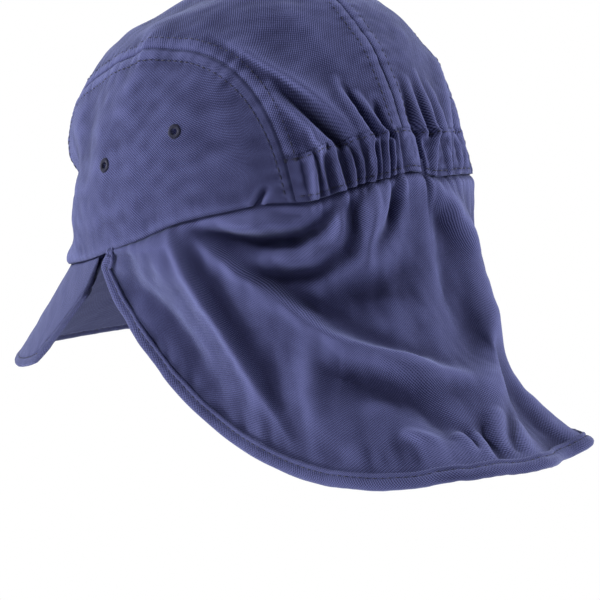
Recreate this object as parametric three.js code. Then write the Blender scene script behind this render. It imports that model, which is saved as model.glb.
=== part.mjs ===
// Legionnaire cap: camp style crown of four panels, elastic casing, curved peak and a long neck flap.
// Millimetres. +Z up, front toward -Y, wearer's left toward +X. The rim of the head opening lies at Z = 0.
import * as THREE from 'three';

// Crown: the half axes of the head opening, the height above the rim, how square the profile is, and how far
// the top leans back
const halfLength = 97;
const halfWidth = 80;
const crownHeight = 100;
const squareness = 2.5;
const crownLean = 4;
const crownCloth = 1.3;

// Side seams: distance from the middle plane at the rim and over the top, and how far they stop above the rim
const seamAtRim = halfWidth * 0.58;
const seamAtTop = halfWidth * 0.7625;
const seamGap = 0.3;
const seamEndInset = 5;

// Elastic casing across the back of the rim: its gathers lie flat towards both edges by the margin's share
const casingHeight = 18;
const pleatPitch = 6.6;
const pleatRise = 1.5;
const pleatMarginShare = 0.12;
const casingFullness = 1.1;

// Peak: its sides droop more than its middle, and its ends are cut just short of the corners
const peakReach = 68;
const peakThickness = 2.6;
const peakSpread = THREE.MathUtils.degToRad(79);
const peakSlope = THREE.MathUtils.degToRad(19.5);
const peakDroop = 27;
const peakSquareness = 2.5;
const peakTrimShare = 0.02;
const peakLeastReach = 2;

// Neck flap: where its front corners meet the rim, its drop, its cloth and the tuck behind the crown, then how
// it is drawn in at the nape: the depth, and the shares of it that bend the flap near the rim and near the hem.
// Its folds are full below one share of the drop and inside one share of the round, and calmer near the hem
const flapCorner = THREE.MathUtils.degToRad(94);
const flapDrop = 122;
const flapCloth = 1.2;
const flapTuck = 6;
const napeHollow = 30;
const napeRoundness = 1.3;
const flapHang = 0.36;
const hollowHighShare = 0.22;
const hollowLowShare = 1.2;
const foldWidth = 10;
const fullBelowShare = 0.1;
const fullInsideShare = 0.05;
const calmBelowShare = 0.8;
const hemFoldShare = 0.5;

// Binding folded round the free edge of the flap
const bindingWidth = 6;
const bindingCloth = 0.9;
const bindingGrip = 3;

// Stitched vent eyelets in the side panels
const eyeletRadius = 3.1;
const eyeletHole = 1.5;
const eyeletThickness = 1.2;

const COLOUR = { twill: 0x484b75, peak: 0x44476f, binding: 0x3f4268, thread: 0x1c1e3c };

// Rise and fall of the rim line, angle in degrees from the centre back toward the wearer's left
const RIM_WAVE = [
  { at: -110, rise: 0.01 }, { at: -60, rise: 0.015 }, { at: -30, rise: -0.015 }, { at: -11, rise: -0.02 },
  { at: 0, rise: 0.018 }, { at: 14, rise: 0.005 }, { at: 32, rise: -0.024 }, { at: 46, rise: 0.008 },
  { at: 66, rise: 0.018 }, { at: 84, rise: -0.004 }, { at: 101, rise: -0.008 }, { at: 140, rise: 0.03 },
  { at: 180, rise: 0.045 }, { at: 220, rise: 0.03 }, { at: 250, rise: 0.01 },
];

// Folds and dents of the crown. from, by, to: angle from the back in degrees, share of the crown height.
// wide: reach to either side as shares of the crown height. rise: at both ends and the middle, as shares too.
const CROWN_FOLDS = [
  { from: [46, 0.68], by: [30, 0.45], to: [17, 0.17], wide: [0.05, 0.035], rise: [0, 0.035, 0.035] },
  { from: [33, 0.44], by: [28, 0.33], to: [21, 0.2], wide: [0.035, 0.035], rise: [0, -0.02, -0.028] },
  { from: [16, 0.5], by: [15.5, 0.34], to: [13, 0.17], wide: [0.04, 0.03], rise: [0, 0.018, 0.026] },
  { from: [9, 0.45], by: [10, 0.3], to: [8.5, 0.17], wide: [0.035, 0.035], rise: [0, -0.014, -0.024] },
  { from: [-6.5, 0.62], by: [-5.5, 0.4], to: [-4.5, 0.17], wide: [0.035, 0.03], rise: [0, 0.014, 0.024] },
  { from: [-10, 0.5], by: [-9, 0.32], to: [-8, 0.17], wide: [0.03, 0.035], rise: [0, -0.016, -0.024] },
  { from: [-16, 0.48], by: [-15, 0.32], to: [-14, 0.17], wide: [0.035, 0.035], rise: [0, 0.012, 0.022] },
  { from: [-33, 0.62], by: [-26, 0.42], to: [-20, 0.18], wide: [0.045, 0.045], rise: [0, -0.024, -0.02] },
  { from: [-43, 0.62], by: [-34, 0.4], to: [-27, 0.18], wide: [0.045, 0.04], rise: [0, 0.024, 0.03] },
  { from: [82, 0.93], by: [75, 0.78], to: [82, 0.56], wide: [0.09, 0.06], rise: [0, 0.02, 0.005] },
  { from: [50, 0.96], by: [78, 0.93], to: [104, 0.96], wide: [0.12, 0.12], rise: [-0.01, -0.03, -0.01] },
  { from: [100, 0.72], by: [102, 0.56], to: [104, 0.4], wide: [0.12, 0.12], rise: [-0.01, -0.03, -0.015] },
  { from: [118, 0.42], by: [131, 0.32], to: [150, 0.3], wide: [0.13, 0.13], rise: [-0.05, -0.13, -0.05] },
  { from: [118, 0.13], by: [133, 0.1], to: [150, 0.1], wide: [0.04, 0.04], rise: [-0.01, -0.025, -0.015] },
  { from: [118, 0.02], by: [132, 0.01], to: [148, 0.01], wide: [0.07, 0.07], rise: [0.01, 0.025, 0.01] },
  { from: [218, 0.3], by: [228, 0.34], to: [240, 0.42], wide: [0.15, 0.15], rise: [-0.02, -0.045, -0.02] },
  { from: [280, 0.9], by: [284, 0.76], to: [278, 0.56], wide: [0.08, 0.08], rise: [0.005, 0.02, 0.005] },
  { from: [160, 0.97], by: [178, 0.9], to: [196, 0.96], wide: [0.16, 0.16], rise: [-0.01, -0.03, -0.01] },
];

// Free edge of the flap from a front corner to the centre back, as shares of the half width, the half length
// and the flap's drop. The rows are mirrored, and the right half trails a little less.
const HEM = [
  { side: 0.985, back: -0.125, drop: 0.055 }, { side: 0.955, back: -0.09, drop: 0.205 },
  { side: 0.905, back: 0.09, drop: 0.478 }, { side: 0.865, back: 0.33, drop: 0.678 },
  { side: 0.84, back: 0.62, drop: 0.823 }, { side: 0.795, back: 0.92, drop: 0.918 },
  { side: 0.7, back: 1.16, drop: 0.957 }, { side: 0.53, back: 1.37, drop: 0.973 },
  { side: 0.29, back: 1.42, drop: 0.99 },
];
const HEM_BACK_SHARE = 1.41;
const RIGHT_TRAIL_SHARE = 0.86;

// Folds of the flap. from, by, to: share of the way from the right front corner round to the left one, share
// of the drop. wide: reach to either side. rise: at both ends and the middle. Both as shares of the fold width.
const FLAP_FOLDS = [
  { from: [0.877, 0.06], by: [0.816, 0.55], to: [0.735, 0.88], wide: [0.9, 0.6], rise: [0.3, 0.7, 0.2] },
  { from: [0.957, 0.58], by: [0.881, 0.7], to: [0.833, 0.86], wide: [0.7, 0.7], rise: [-0.2, -0.5, -0.2] },
  { from: [0.845, 0.1], by: [0.714, 0.4], to: [0.563, 0.62], wide: [0.6, 1.6], rise: [0.1, 0.6, 0.2] },
  { from: [0.83, 0.05], by: [0.735, 0.14], to: [0.64, 0.03], wide: [0.6, 0.6], rise: [-0.2, -0.5, -0.3] },
  { from: [0.77, 0.28], by: [0.7, 0.25], to: [0.63, 0.17], wide: [0.7, 0.7], rise: [-0.2, -0.35, -0.1] },
  { from: [0.71, 0.34], by: [0.62, 0.35], to: [0.51, 0.27], wide: [1.3, 1.3], rise: [-0.3, -0.6, -0.2] },
  { from: [0.574, 0], by: [0.584, 0.1], to: [0.6, 0.22], wide: [0.5, 0.5], rise: [0.35, 0.4, 0.1] },
  { from: [0.54, 0.01], by: [0.537, 0.08], to: [0.565, 0.16], wide: [0.45, 0.45], rise: [-0.25, -0.3, -0.1] },
  { from: [0.47, 0], by: [0.42, 0.12], to: [0.355, 0.27], wide: [0.9, 0.7], rise: [0.35, 0.5, 0.1] },
  { from: [0.335, 0.24], by: [0.37, 0.45], to: [0.47, 0.76], wide: [1.4, 0.8], rise: [0, 0.3, 0.6] },
  { from: [0.459, 0.1], by: [0.43, 0.22], to: [0.455, 0.4], wide: [0.7, 0.7], rise: [-0.2, -0.4, -0.2] },
  { from: [0.672, 0.54], by: [0.702, 0.7], to: [0.66, 0.92], wide: [1.2, 0.7], rise: [0.2, 0.5, 0.2] },
  { from: [0.66, 0.63], by: [0.6, 0.69], to: [0.556, 0.86], wide: [0.9, 0.9], rise: [-0.2, -0.6, -0.3] },
  { from: [0.656, 0.56], by: [0.58, 0.63], to: [0.5, 0.71], wide: [0.6, 0.6], rise: [0.1, 0.3, 0.2] },
  { from: [0.516, 0.79], by: [0.525, 0.87], to: [0.533, 0.95], wide: [0.5, 0.5], rise: [-0.2, -0.4, -0.25] },
  { from: [0.48, 0.74], by: [0.51, 0.83], to: [0.52, 0.93], wide: [0.5, 0.5], rise: [0.1, 0.35, 0.2] },
  { from: [0.14, 0.06], by: [0.2, 0.5], to: [0.27, 0.86], wide: [0.8, 0.8], rise: [0.2, 0.6, 0.2] },
  { from: [0.06, 0.6], by: [0.13, 0.72], to: [0.18, 0.86], wide: [0.7, 0.7], rise: [-0.2, -0.4, -0.2] },
  { from: [0.18, 0.06], by: [0.26, 0.14], to: [0.35, 0.04], wide: [0.6, 0.6], rise: [-0.2, -0.4, -0.2] },
  { from: [0.22, 0.3], by: [0.3, 0.5], to: [0.36, 0.78], wide: [1, 0.8], rise: [-0.1, -0.5, -0.2] },
];

// Side panel eyelets: angle from the back in degrees, share of the crown height
const EYELETS = [
  { name: 'back', at: 64, up: 0.37 },
  { name: 'front', at: 90, up: 0.34 },
];

// Mesh density, as steps round and up each piece
const STEPS = {
  sidePanel: [26, 10], centrePanel: [34, 7], casing: [72, 2], flap: [64, 15], peak: [24, 6], eyelet: [10, 4],
};

const radians = THREE.MathUtils.degToRad;
const mix = THREE.MathUtils.lerp;
const UP = new THREE.Vector3(0, 0, 1);
const BACK = new THREE.Vector3(0, 1, 0);

// Value of a table's column at an angle in degrees, eased from row to row and round the whole turn
function fromTable(rows, column, angle) {
  const first = rows[0].at;
  const turned = first + ((((angle - first) % 360) + 360) % 360);
  let index = rows.length - 1;
  for (let i = 0; i + 1 < rows.length; i += 1) {
    if (turned >= rows[i].at && turned < rows[i + 1].at) index = i;
  }
  const here = rows[index];
  const next = rows[(index + 1) % rows.length];
  const span = (next.at - here.at + 360) % 360;
  return mix(here[column], next[column], THREE.MathUtils.smoothstep(turned - here.at, 0, span));
}

// Point of the plain crown at an angle from the back and a height
function crownAt(angle, height) {
  const share = Math.min(Math.abs(height) / crownHeight, 1);
  const reach = (1 - share ** squareness) ** (1 / squareness);
  return new THREE.Vector3(halfWidth * reach * Math.sin(angle), halfLength * reach * Math.cos(angle), height);
}

// How far out a place lies, 1 on the plain crown
function crownLevel(place) {
  const flat = Math.hypot(place.x / halfWidth, place.y / halfLength);
  return (flat ** squareness + Math.abs(place.z / crownHeight) ** squareness) ** (1 / squareness);
}

// The place moved to the plain crown, straight away from the middle of the head opening
function ontoCrown(place) {
  return place.clone().divideScalar(crownLevel(place));
}

// Point of the plain crown in the plane at x, at an angle turned from the back rim over the top to the front
function crownArch(x, turn) {
  let low = 0;
  let high = halfLength + crownHeight;
  for (let i = 0; i < 40; i += 1) {
    const middle = (low + high) / 2;
    const place = new THREE.Vector3(x, middle * Math.cos(turn), middle * Math.sin(turn));
    if (crownLevel(place) < 1) low = middle;
    else high = middle;
  }
  return new THREE.Vector3(x, low * Math.cos(turn), low * Math.sin(turn));
}

// Outward direction of the plain crown
function crownOut(place) {
  const flat = Math.hypot(place.x / halfWidth, place.y / halfLength);
  const side = flat ** (squareness - 2);
  return new THREE.Vector3(
    (side * place.x) / halfWidth ** 2,
    (side * place.y) / halfLength ** 2,
    (Math.sign(place.z) * Math.abs(place.z / crownHeight) ** (squareness - 1)) / crownHeight,
  ).normalize();
}

// Points along a fold: a curve from its start by its middle to its end, laid on a surface
function foldPath(row, surface) {
  const points = [];
  const count = 10;
  for (let i = 0; i <= count; i += 1) {
    const s = i / count;
    const pull = [0, 1].map((k) => 2 * row.by[k] - (row.from[k] + row.to[k]) / 2);
    const at = [0, 1].map((k) => (1 - s) ** 2 * row.from[k] + 2 * s * (1 - s) * pull[k] + s ** 2 * row.to[k]);
    points.push(surface(at[0], at[1]));
  }
  return points;
}

// Height of all folds at a place: each is a rounded ridge or valley along its path
function reliefAt(place, out, folds) {
  let total = 0;
  for (const fold of folds) {
    let best = Infinity;
    let along = 0;
    let side = 0;
    for (let i = 0; i + 1 < fold.path.length; i += 1) {
      const start = fold.path[i];
      const step = fold.path[i + 1].clone().sub(start);
      const away = place.clone().sub(start);
      const share = THREE.MathUtils.clamp(away.dot(step) / step.lengthSq(), 0, 1);
      away.addScaledVector(step, -share);
      if (away.length() < best) {
        best = away.length();
        along = (i + share) / (fold.path.length - 1);
        side = step.clone().cross(away).dot(out);
      }
    }
    const wide = side > 0 ? fold.wide[0] : fold.wide[1];
    const [start, middle, end] = fold.rise;
    const rise = start * (1 - along) * (1 - 2 * along) + 4 * middle * along * (1 - along)
      + end * along * (2 * along - 1);
    total += rise * Math.exp(-((best / wide) ** 2));
  }
  return total;
}

// Folds with their paths and real sizes worked out
function laidFolds(rows, surface, unit) {
  return rows.map((row) => ({
    path: foldPath(row, surface),
    wide: row.wide.map((share) => share * unit),
    rise: row.rise.map((share) => share * unit),
  }));
}

const crownFolds = laidFolds(
  CROWN_FOLDS,
  (angle, share) => crownAt(radians(angle), share * crownHeight),
  crownHeight,
);

// A place of the plain crown with the folds, the wave of the rim and the lean
function worn(place) {
  const out = crownOut(place);
  const angle = THREE.MathUtils.radToDeg(Math.atan2(place.x / halfWidth, place.y / halfLength));
  const fade = Math.max(1 - place.z / crownHeight, 0) ** 2;
  const lift = fromTable(RIM_WAVE, 'rise', angle) * crownHeight * fade;
  const lean = crownLean * (place.z / crownHeight) ** 2;
  return place.clone()
    .addScaledVector(out, reliefAt(place, out, crownFolds))
    .addScaledVector(UP, lift)
    .addScaledVector(BACK, lean);
}

// Outward direction of the worn crown
function wornOut(place) {
  const out = crownOut(place);
  const across = UP.clone().cross(out).normalize();
  if (across.lengthSq() < 0.5) across.set(1, 0, 0);
  const upward = out.clone().cross(across);
  const step = 0.5;
  const near = (way, sign) => worn(ontoCrown(place.clone().addScaledVector(way, sign * step)));
  const run = near(across, 1).sub(near(across, -1));
  const climb = near(upward, 1).sub(near(upward, -1));
  return run.cross(climb).normalize();
}

// Closed solid from a grid of outer and inner points, outer[i][j], with i round and j up
function wall(outer, inner) {
  const columns = outer.length;
  const rows = outer[0].length;
  const positions = [];
  for (const grid of [outer, inner]) {
    for (const column of grid) for (const point of column) positions.push(point.x, point.y, point.z);
  }
  const at = (layer, i, j) => layer * columns * rows + i * rows + j;
  const index = [];
  const quad = (a, b, c, d) => index.push(a, b, c, a, c, d);
  for (let i = 0; i + 1 < columns; i += 1) {
    for (let j = 0; j + 1 < rows; j += 1) {
      quad(at(0, i, j), at(0, i + 1, j), at(0, i + 1, j + 1), at(0, i, j + 1));
      quad(at(1, i, j), at(1, i, j + 1), at(1, i + 1, j + 1), at(1, i + 1, j));
    }
    quad(at(0, i, 0), at(1, i, 0), at(1, i + 1, 0), at(0, i + 1, 0));
    quad(at(0, i, rows - 1), at(0, i + 1, rows - 1), at(1, i + 1, rows - 1), at(1, i, rows - 1));
  }
  for (let j = 0; j + 1 < rows; j += 1) {
    quad(at(0, 0, j), at(0, 0, j + 1), at(1, 0, j + 1), at(1, 0, j));
    quad(at(0, columns - 1, j), at(1, columns - 1, j), at(1, columns - 1, j + 1), at(0, columns - 1, j + 1));
  }
  const geometry = new THREE.BufferGeometry();
  geometry.setAttribute('position', new THREE.Float32BufferAttribute(positions, 3));
  geometry.setIndex(index);
  return facingOut(geometry);
}

// Volume inside the triangles, negative if they face inward
function enclosed(geometry) {
  const points = geometry.getAttribute('position');
  const corners = [0, 1, 2].map(() => new THREE.Vector3());
  let total = 0;
  for (let i = 0; i < geometry.index.count; i += 3) {
    corners.forEach((corner, k) => corner.fromBufferAttribute(points, geometry.index.getX(i + k)));
    total += corners[0].dot(corners[1].clone().cross(corners[2])) / 6;
  }
  return total;
}

// The geometry with its triangles turned to face out
function facingOut(geometry) {
  if (enclosed(geometry) < 0) {
    const turned = Array.from(geometry.index.array);
    for (let i = 0; i < turned.length; i += 3) [turned[i], turned[i + 1]] = [turned[i + 1], turned[i]];
    geometry.setIndex(turned);
  }
  geometry.computeVertexNormals();
  return geometry;
}

// Grid of points from a function of two shares
function grid(steps, place) {
  return Array.from({ length: steps[0] + 1 }, (_, i) =>
    Array.from({ length: steps[1] + 1 }, (__, j) => place(i / steps[0], j / steps[1])));
}

// Cloth wall of the worn crown from a grid of places on the plain crown
function crownWall(places, finish = worn) {
  const outer = places.map((column) => column.map((place) => finish(place)));
  const inner = places.map((column, i) => column.map((place, j) =>
    outer[i][j].clone().addScaledVector(wornOut(place), -crownCloth)));
  return wall(outer, inner);
}

// Grid mirrored to the wearer's right; the folds are laid afterwards, so both sides keep their own
function mirrored(places) {
  return places.map((column) => column.map((place) => new THREE.Vector3(-place.x, place.y, place.z)));
}

// Distance of the side seam from the middle plane
function seamAcross(turn) {
  return mix(seamAtRim, seamAtTop, Math.sin(turn) ** 3);
}

// D shaped side panel, its straight edge on the rim and its arch on the side seam
function sidePanelPlaces() {
  const startTurn = seamEndInset / halfLength;
  const edge = seamAtRim + seamGap / 2;
  const corner = Math.asin(edge / halfWidth);
  return grid(STEPS.sidePanel, (along, up) => {
    const low = crownAt(mix(corner, Math.PI - corner, along), 0);
    const turn = mix(startTurn, Math.PI - startTurn, along);
    const high = crownArch(seamAcross(turn) + seamGap / 2, turn);
    return ontoCrown(low.lerp(high, up));
  });
}

// Centre panel from the casing over the top to the front rim, between the middle plane and a side seam
function centrePanelPlaces() {
  const base = casingHeight + seamGap;
  const inside = (crownLevel(new THREE.Vector3(0, 0, base)) ** squareness);
  const reach = (1 - inside) ** (1 / squareness);
  return grid(STEPS.centrePanel, (along, across) => {
    const near = mix(seamGap / 2, seamAtRim - seamGap / 2, across);
    const depth = halfLength * Math.sqrt(reach ** 2 - (near / halfWidth) ** 2);
    const turn = mix(Math.atan2(base, depth), Math.PI, along);
    return crownArch(mix(seamGap / 2, seamAcross(turn) - seamGap / 2, across), turn);
  });
}

// Elastic casing: a pleated band across the back between the side seams
function elasticCasing() {
  const places = grid(STEPS.casing, (along, up) => {
    const height = up * casingHeight;
    const reach = crownAt(Math.PI / 2, height).x;
    const end = Math.asin((seamAtRim - seamGap / 2) / reach);
    return crownAt(mix(-end, end, along), height);
  });
  const pleats = Math.round((2 * seamAtRim * casingFullness) / pleatPitch);
  const finish = (place) => {
    const share = 0.5 + Math.asin(place.x / halfWidth) / (2 * Math.asin(seamAtRim / halfWidth));
    const swell = Math.sin(Math.PI * mix(pleatMarginShare, 1 - pleatMarginShare, place.z / casingHeight));
    const rise = pleatRise * swell * (0.5 - 0.5 * Math.cos(2 * Math.PI * pleats * share));
    return worn(place).addScaledVector(crownOut(place), rise);
  };
  return crownWall(places, finish);
}

// Curve through the flap's free edge, from the right front corner round the back to the left one
function hemCurve() {
  const rows = HEM.map((row) => new THREE.Vector3(
    row.side * halfWidth,
    row.back * halfLength,
    -row.drop * flapDrop,
  ));
  const right = rows.map((place) => new THREE.Vector3(
    -place.x,
    place.y > 0 ? place.y * RIGHT_TRAIL_SHARE : place.y,
    place.z,
  ));
  const middle = new THREE.Vector3(0, HEM_BACK_SHARE * halfLength, -flapDrop);
  return new THREE.CatmullRomCurve3([...right, middle, ...rows.reverse()], false, 'catmullrom');
}

const hem = hemCurve();
const insideCrown = crownCloth + seamGap;

// Point of the flap on the rim line, just inside the crown
function flapTop(share) {
  const place = crownAt(mix(-flapCorner, flapCorner, share), 0);
  return worn(place).addScaledVector(crownOut(place), -insideCrown);
}

// The smooth flap: it hangs from the rim, is drawn in at the nape and trails out to the hem
function plainFlap(share, down) {
  const top = flapTop(share);
  const foot = hem.getPointAt(share);
  const out = crownOut(crownAt(mix(-flapCorner, flapCorner, share), 0));
  const length = top.distanceTo(foot);
  const hollow = napeHollow * Math.sin(Math.PI * share) ** napeRoundness;
  const high = top.clone()
    .addScaledVector(UP, -flapHang * length)
    .addScaledVector(out, -hollowHighShare * hollow);
  const low = foot.clone().lerp(top, flapHang).addScaledVector(out, -hollowLowShare * hollow);
  return new THREE.CubicBezierCurve3(top, high, low, foot).getPoint(down);
}

const flapFolds = laidFolds(FLAP_FOLDS, plainFlap, foldWidth);

// Outward direction of the smooth flap
function flapOut(share, down) {
  const step = 0.004;
  const left = plainFlap(Math.min(share + step, 1), down);
  const right = plainFlap(Math.max(share - step, 0), down);
  const low = plainFlap(share, Math.min(down + step, 1));
  const high = plainFlap(share, Math.max(down - step, 0));
  return high.sub(low).cross(left.sub(right)).normalize();
}

// Point of the folded flap; the folds die out at the rim, and half of each reaches the hem
function foldedFlap(share, down) {
  const place = plainFlap(share, down);
  const out = flapOut(share, down);
  const below = THREE.MathUtils.smoothstep(down, -fullBelowShare / 5, fullBelowShare);
  const calm = mix(1, hemFoldShare, THREE.MathUtils.smoothstep(down, calmBelowShare, 1));
  const ends = THREE.MathUtils.smoothstep(Math.min(share, 1 - share), -fullInsideShare / 5, fullInsideShare);
  return place.addScaledVector(out, reliefAt(place, out, flapFolds) * below * calm * ends);
}

// Directions of the flap's free edge at a share: inward along the cloth, and out of it
function edgeFrame(share) {
  const step = 0.002;
  const foot = foldedFlap(share, 1);
  const before = foldedFlap(Math.max(share - step, 0), 1);
  const along = foldedFlap(Math.min(share + step, 1), 1).sub(before).normalize();
  const inward = foldedFlap(share, 1 - bindingGrip / flapDrop).sub(foot).projectOnPlane(along).normalize();
  const out = inward.clone().cross(along).normalize();
  return { foot, inward, out };
}

// Flap wall: a row tucked up behind the crown, the hanging rows and a straight strip held by the binding
function neckFlap() {
  const [round, rows] = STEPS.flap;
  const outer = [];
  const inner = [];
  for (let i = 0; i <= round; i += 1) {
    const share = i / round;
    const frame = edgeFrame(share);
    const column = [flapTop(share).addScaledVector(UP, flapTuck)];
    const outs = [crownOut(crownAt(mix(-flapCorner, flapCorner, share), 0))];
    for (let j = 0; j < rows - 1; j += 1) {
      const down = j / (rows - 1);
      const strip = Math.min(1, (bindingGrip + 1) / plainFlap(share, 0).distanceTo(frame.foot));
      column.push(foldedFlap(share, down * (1 - strip)));
      outs.push(flapOut(share, down));
    }
    column.push(frame.foot.clone().addScaledVector(frame.inward, bindingGrip));
    outs.push(frame.out);
    column.push(frame.foot);
    outs.push(frame.out);
    outer.push(column.map((point, j) => point.clone().addScaledVector(outs[j], j > 1 ? flapCloth / 2 : 0)));
    inner.push(column.map((point, j) => (
      point.clone().addScaledVector(outs[j], j > 1 ? -flapCloth / 2 : -flapCloth)
    )));
  }
  return wall(outer, inner);
}

// Binding: a folded strip whose slot holds the free edge of the flap
function hemBinding() {
  const slot = flapCloth / 2 + seamGap;
  const skin = slot + bindingCloth;
  const floor = -seamGap;
  const foot = bindingGrip - bindingWidth;
  const section = [
    [foot, skin], [bindingGrip, skin], [bindingGrip, slot], [floor, slot],
    [floor, -slot], [bindingGrip, -slot], [bindingGrip, -skin], [foot, -skin],
  ];
  const round = STEPS.flap[0];
  const positions = [];
  for (let i = 0; i <= round; i += 1) {
    const frame = edgeFrame(i / round);
    for (const [inward, out] of section) {
      const point = frame.foot.clone().addScaledVector(frame.inward, inward).addScaledVector(frame.out, out);
      positions.push(point.x, point.y, point.z);
    }
  }
  const count = section.length;
  const index = [];
  for (let i = 0; i < round; i += 1) {
    for (let k = 0; k < count; k += 1) {
      const a = i * count + k;
      const b = i * count + ((k + 1) % count);
      index.push(a, b, b + count, a, b + count, a + count);
    }
  }
  const outline = section.map(([inward, out]) => new THREE.Vector2(inward, out));
  for (const [a, b, c] of THREE.ShapeUtils.triangulateShape(outline, [])) {
    index.push(a, b, c);
    index.push(round * count + c, round * count + b, round * count + a);
  }
  const geometry = new THREE.BufferGeometry();
  geometry.setAttribute('position', new THREE.Float32BufferAttribute(positions, 3));
  geometry.setIndex(index);
  return facingOut(geometry);
}

// Upper face of the peak, across from right to left and forward from the rim to the free edge
function peakTop(across, forward) {
  const turn = mix(-peakSpread, peakSpread, across);
  const root = crownAt(Math.PI - turn, 0);
  const lift = worn(root).z;
  root.addScaledVector(crownOut(root), -crownCloth);
  const corner = crownAt(Math.PI - peakSpread, 0);
  const swing = mix(-Math.PI / 2, Math.PI / 2, mix(peakTrimShare, 1 - peakTrimShare, across));
  const power = 2 / peakSquareness;
  const edgeX = corner.x * Math.sign(swing) * Math.abs(Math.sin(swing)) ** power;
  const edgeY = corner.y - (halfLength + peakReach + corner.y) * Math.cos(swing) ** power;
  const x = mix(root.x, edgeX, forward);
  const y = mix(root.y, Math.min(edgeY, root.y - peakLeastReach), forward);
  const run = root.y - y;
  const droop = (peakDroop * (x / halfWidth) ** 2 * run) / peakReach;
  return new THREE.Vector3(x, y, lift - seamGap - run * Math.tan(peakSlope) - droop);
}

// Peak: a stiff curved plate under the front rim
function peak() {
  const outer = grid(STEPS.peak, peakTop);
  const inner = grid(STEPS.peak, (across, forward) => {
    const step = 0.01;
    const right = peakTop(Math.max(across - step, 0), forward);
    const run = peakTop(Math.min(across + step, 1), forward).sub(right);
    const near = peakTop(across, Math.max(forward - step, 0));
    const reach = peakTop(across, Math.min(forward + step, 1)).sub(near);
    return peakTop(across, forward).addScaledVector(reach.cross(run).normalize(), -peakThickness);
  });
  return wall(outer, inner);
}

// Stitched eyelet: a flat ring with a round section on the side panel
function eyelet(angle, share, sign) {
  const place = crownAt(radians(angle) * sign, share * crownHeight);
  const out = wornOut(place);
  const ringRadius = (eyeletRadius + eyeletHole) / 2;
  const geometry = new THREE.TorusGeometry(
    ringRadius,
    (eyeletRadius - eyeletHole) / 2,
    STEPS.eyelet[1],
    STEPS.eyelet[0],
  );
  geometry.scale(1, 1, eyeletThickness / (eyeletRadius - eyeletHole));
  geometry.applyQuaternion(new THREE.Quaternion().setFromUnitVectors(UP, out));
  const seat = worn(place).addScaledVector(out, eyeletThickness / 2 + seamGap);
  geometry.translate(seat.x, seat.y, seat.z);
  return geometry;
}

// Mesh with its own plain material
function mesh(name, geometry, color, roughness = 0.92) {
  const piece = new THREE.Mesh(geometry, new THREE.MeshStandardMaterial({ color, roughness, metalness: 0 }));
  piece.name = name;
  return piece;
}

const cap = new THREE.Group();
const sidePlaces = sidePanelPlaces();
const centrePlaces = centrePanelPlaces();
cap.add(mesh('side_panel_left', crownWall(sidePlaces), COLOUR.twill));
cap.add(mesh('side_panel_right', crownWall(mirrored(sidePlaces)), COLOUR.twill));
cap.add(mesh('centre_panel_left', crownWall(centrePlaces), COLOUR.twill));
cap.add(mesh('centre_panel_right', crownWall(mirrored(centrePlaces)), COLOUR.twill));
cap.add(mesh('elastic_casing', elasticCasing(), COLOUR.twill));
cap.add(mesh('neck_flap', neckFlap(), COLOUR.twill));
cap.add(mesh('hem_binding', hemBinding(), COLOUR.binding));
cap.add(mesh('peak', peak(), COLOUR.peak));
for (const { name, at, up } of EYELETS) {
  cap.add(mesh(`eyelet_left_${name}`, eyelet(at, up, 1), COLOUR.thread, 0.8));
  cap.add(mesh(`eyelet_right_${name}`, eyelet(at, up, -1), COLOUR.thread, 0.8));
}

export default cap;
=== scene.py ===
"""Legionnaire cap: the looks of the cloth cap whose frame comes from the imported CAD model.

Metres. +Z up, front toward -Y, wearer's left toward +X. The rim of the head opening lies at Z = 0.
"""
import math

import bmesh
import bpy
import numpy as np
from bpy.props import FloatProperty, FloatVectorProperty, IntProperty, PointerProperty
from mathutils import Matrix, Vector


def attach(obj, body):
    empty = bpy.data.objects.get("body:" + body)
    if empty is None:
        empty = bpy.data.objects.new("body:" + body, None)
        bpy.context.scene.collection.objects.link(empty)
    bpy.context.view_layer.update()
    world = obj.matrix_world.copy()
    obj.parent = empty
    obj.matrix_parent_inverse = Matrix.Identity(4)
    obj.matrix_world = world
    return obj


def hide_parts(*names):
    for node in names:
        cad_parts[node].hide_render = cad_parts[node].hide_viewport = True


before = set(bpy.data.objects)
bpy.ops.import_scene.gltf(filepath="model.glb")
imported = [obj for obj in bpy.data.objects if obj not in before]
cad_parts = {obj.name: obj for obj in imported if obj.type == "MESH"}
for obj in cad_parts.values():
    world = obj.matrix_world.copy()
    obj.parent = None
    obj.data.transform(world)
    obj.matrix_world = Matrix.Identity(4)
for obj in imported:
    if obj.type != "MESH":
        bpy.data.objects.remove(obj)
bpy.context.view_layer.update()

bl_info = {
    "name": "Legionnaire cap",
    "version": (1, 0, 0),
    "blender": (4, 5, 0),
    "location": "View3D > Sidebar > Cap",
    "description": "Builds a worn cotton cap with a gathered casing, a peak and a neck flap",
    "category": "Add Mesh",
}

MM = 0.001
UP = np.array([0.0, 0.0, 1.0])
TINY = 0.01 * MM
LAP = 0.05 * MM

# Faces of each grid across and along, and the flat size over which the weave lies on it
STEPS = {"side": (190, 84), "centre": (240, 52), "casing": (380, 34), "flap": (320, 150), "peak": (150, 110)}
WEAVE = {"side": (0.19, 0.09), "centre": (0.27, 0.056), "casing": (0.15, 0.018), "peak": (0.2, 0.14)}
BINDING_WEAVE = 0.024

# How wide the cloth round a place is that its crests and valleys are told from, and the rise of a full crest.
# Crests get a lighter colour, for rubbed wear and a painted highlight, and valleys a darker one, as painted shade
CREST_AROUND = {"panel": 2.5 * MM, "flap": 5 * MM}
CREST_FULL = {"panel": 0.45 * MM, "flap": 1.2 * MM}

# Tone of each piece's twill, and the lean of its ribs in degrees
TWILLS = {
    "crown_twill": (1.0, 50), "flap_twill": (1.0, 36), "binding_twill": (0.92, 45), "peak_twill": (0.95, 50),
}
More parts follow.
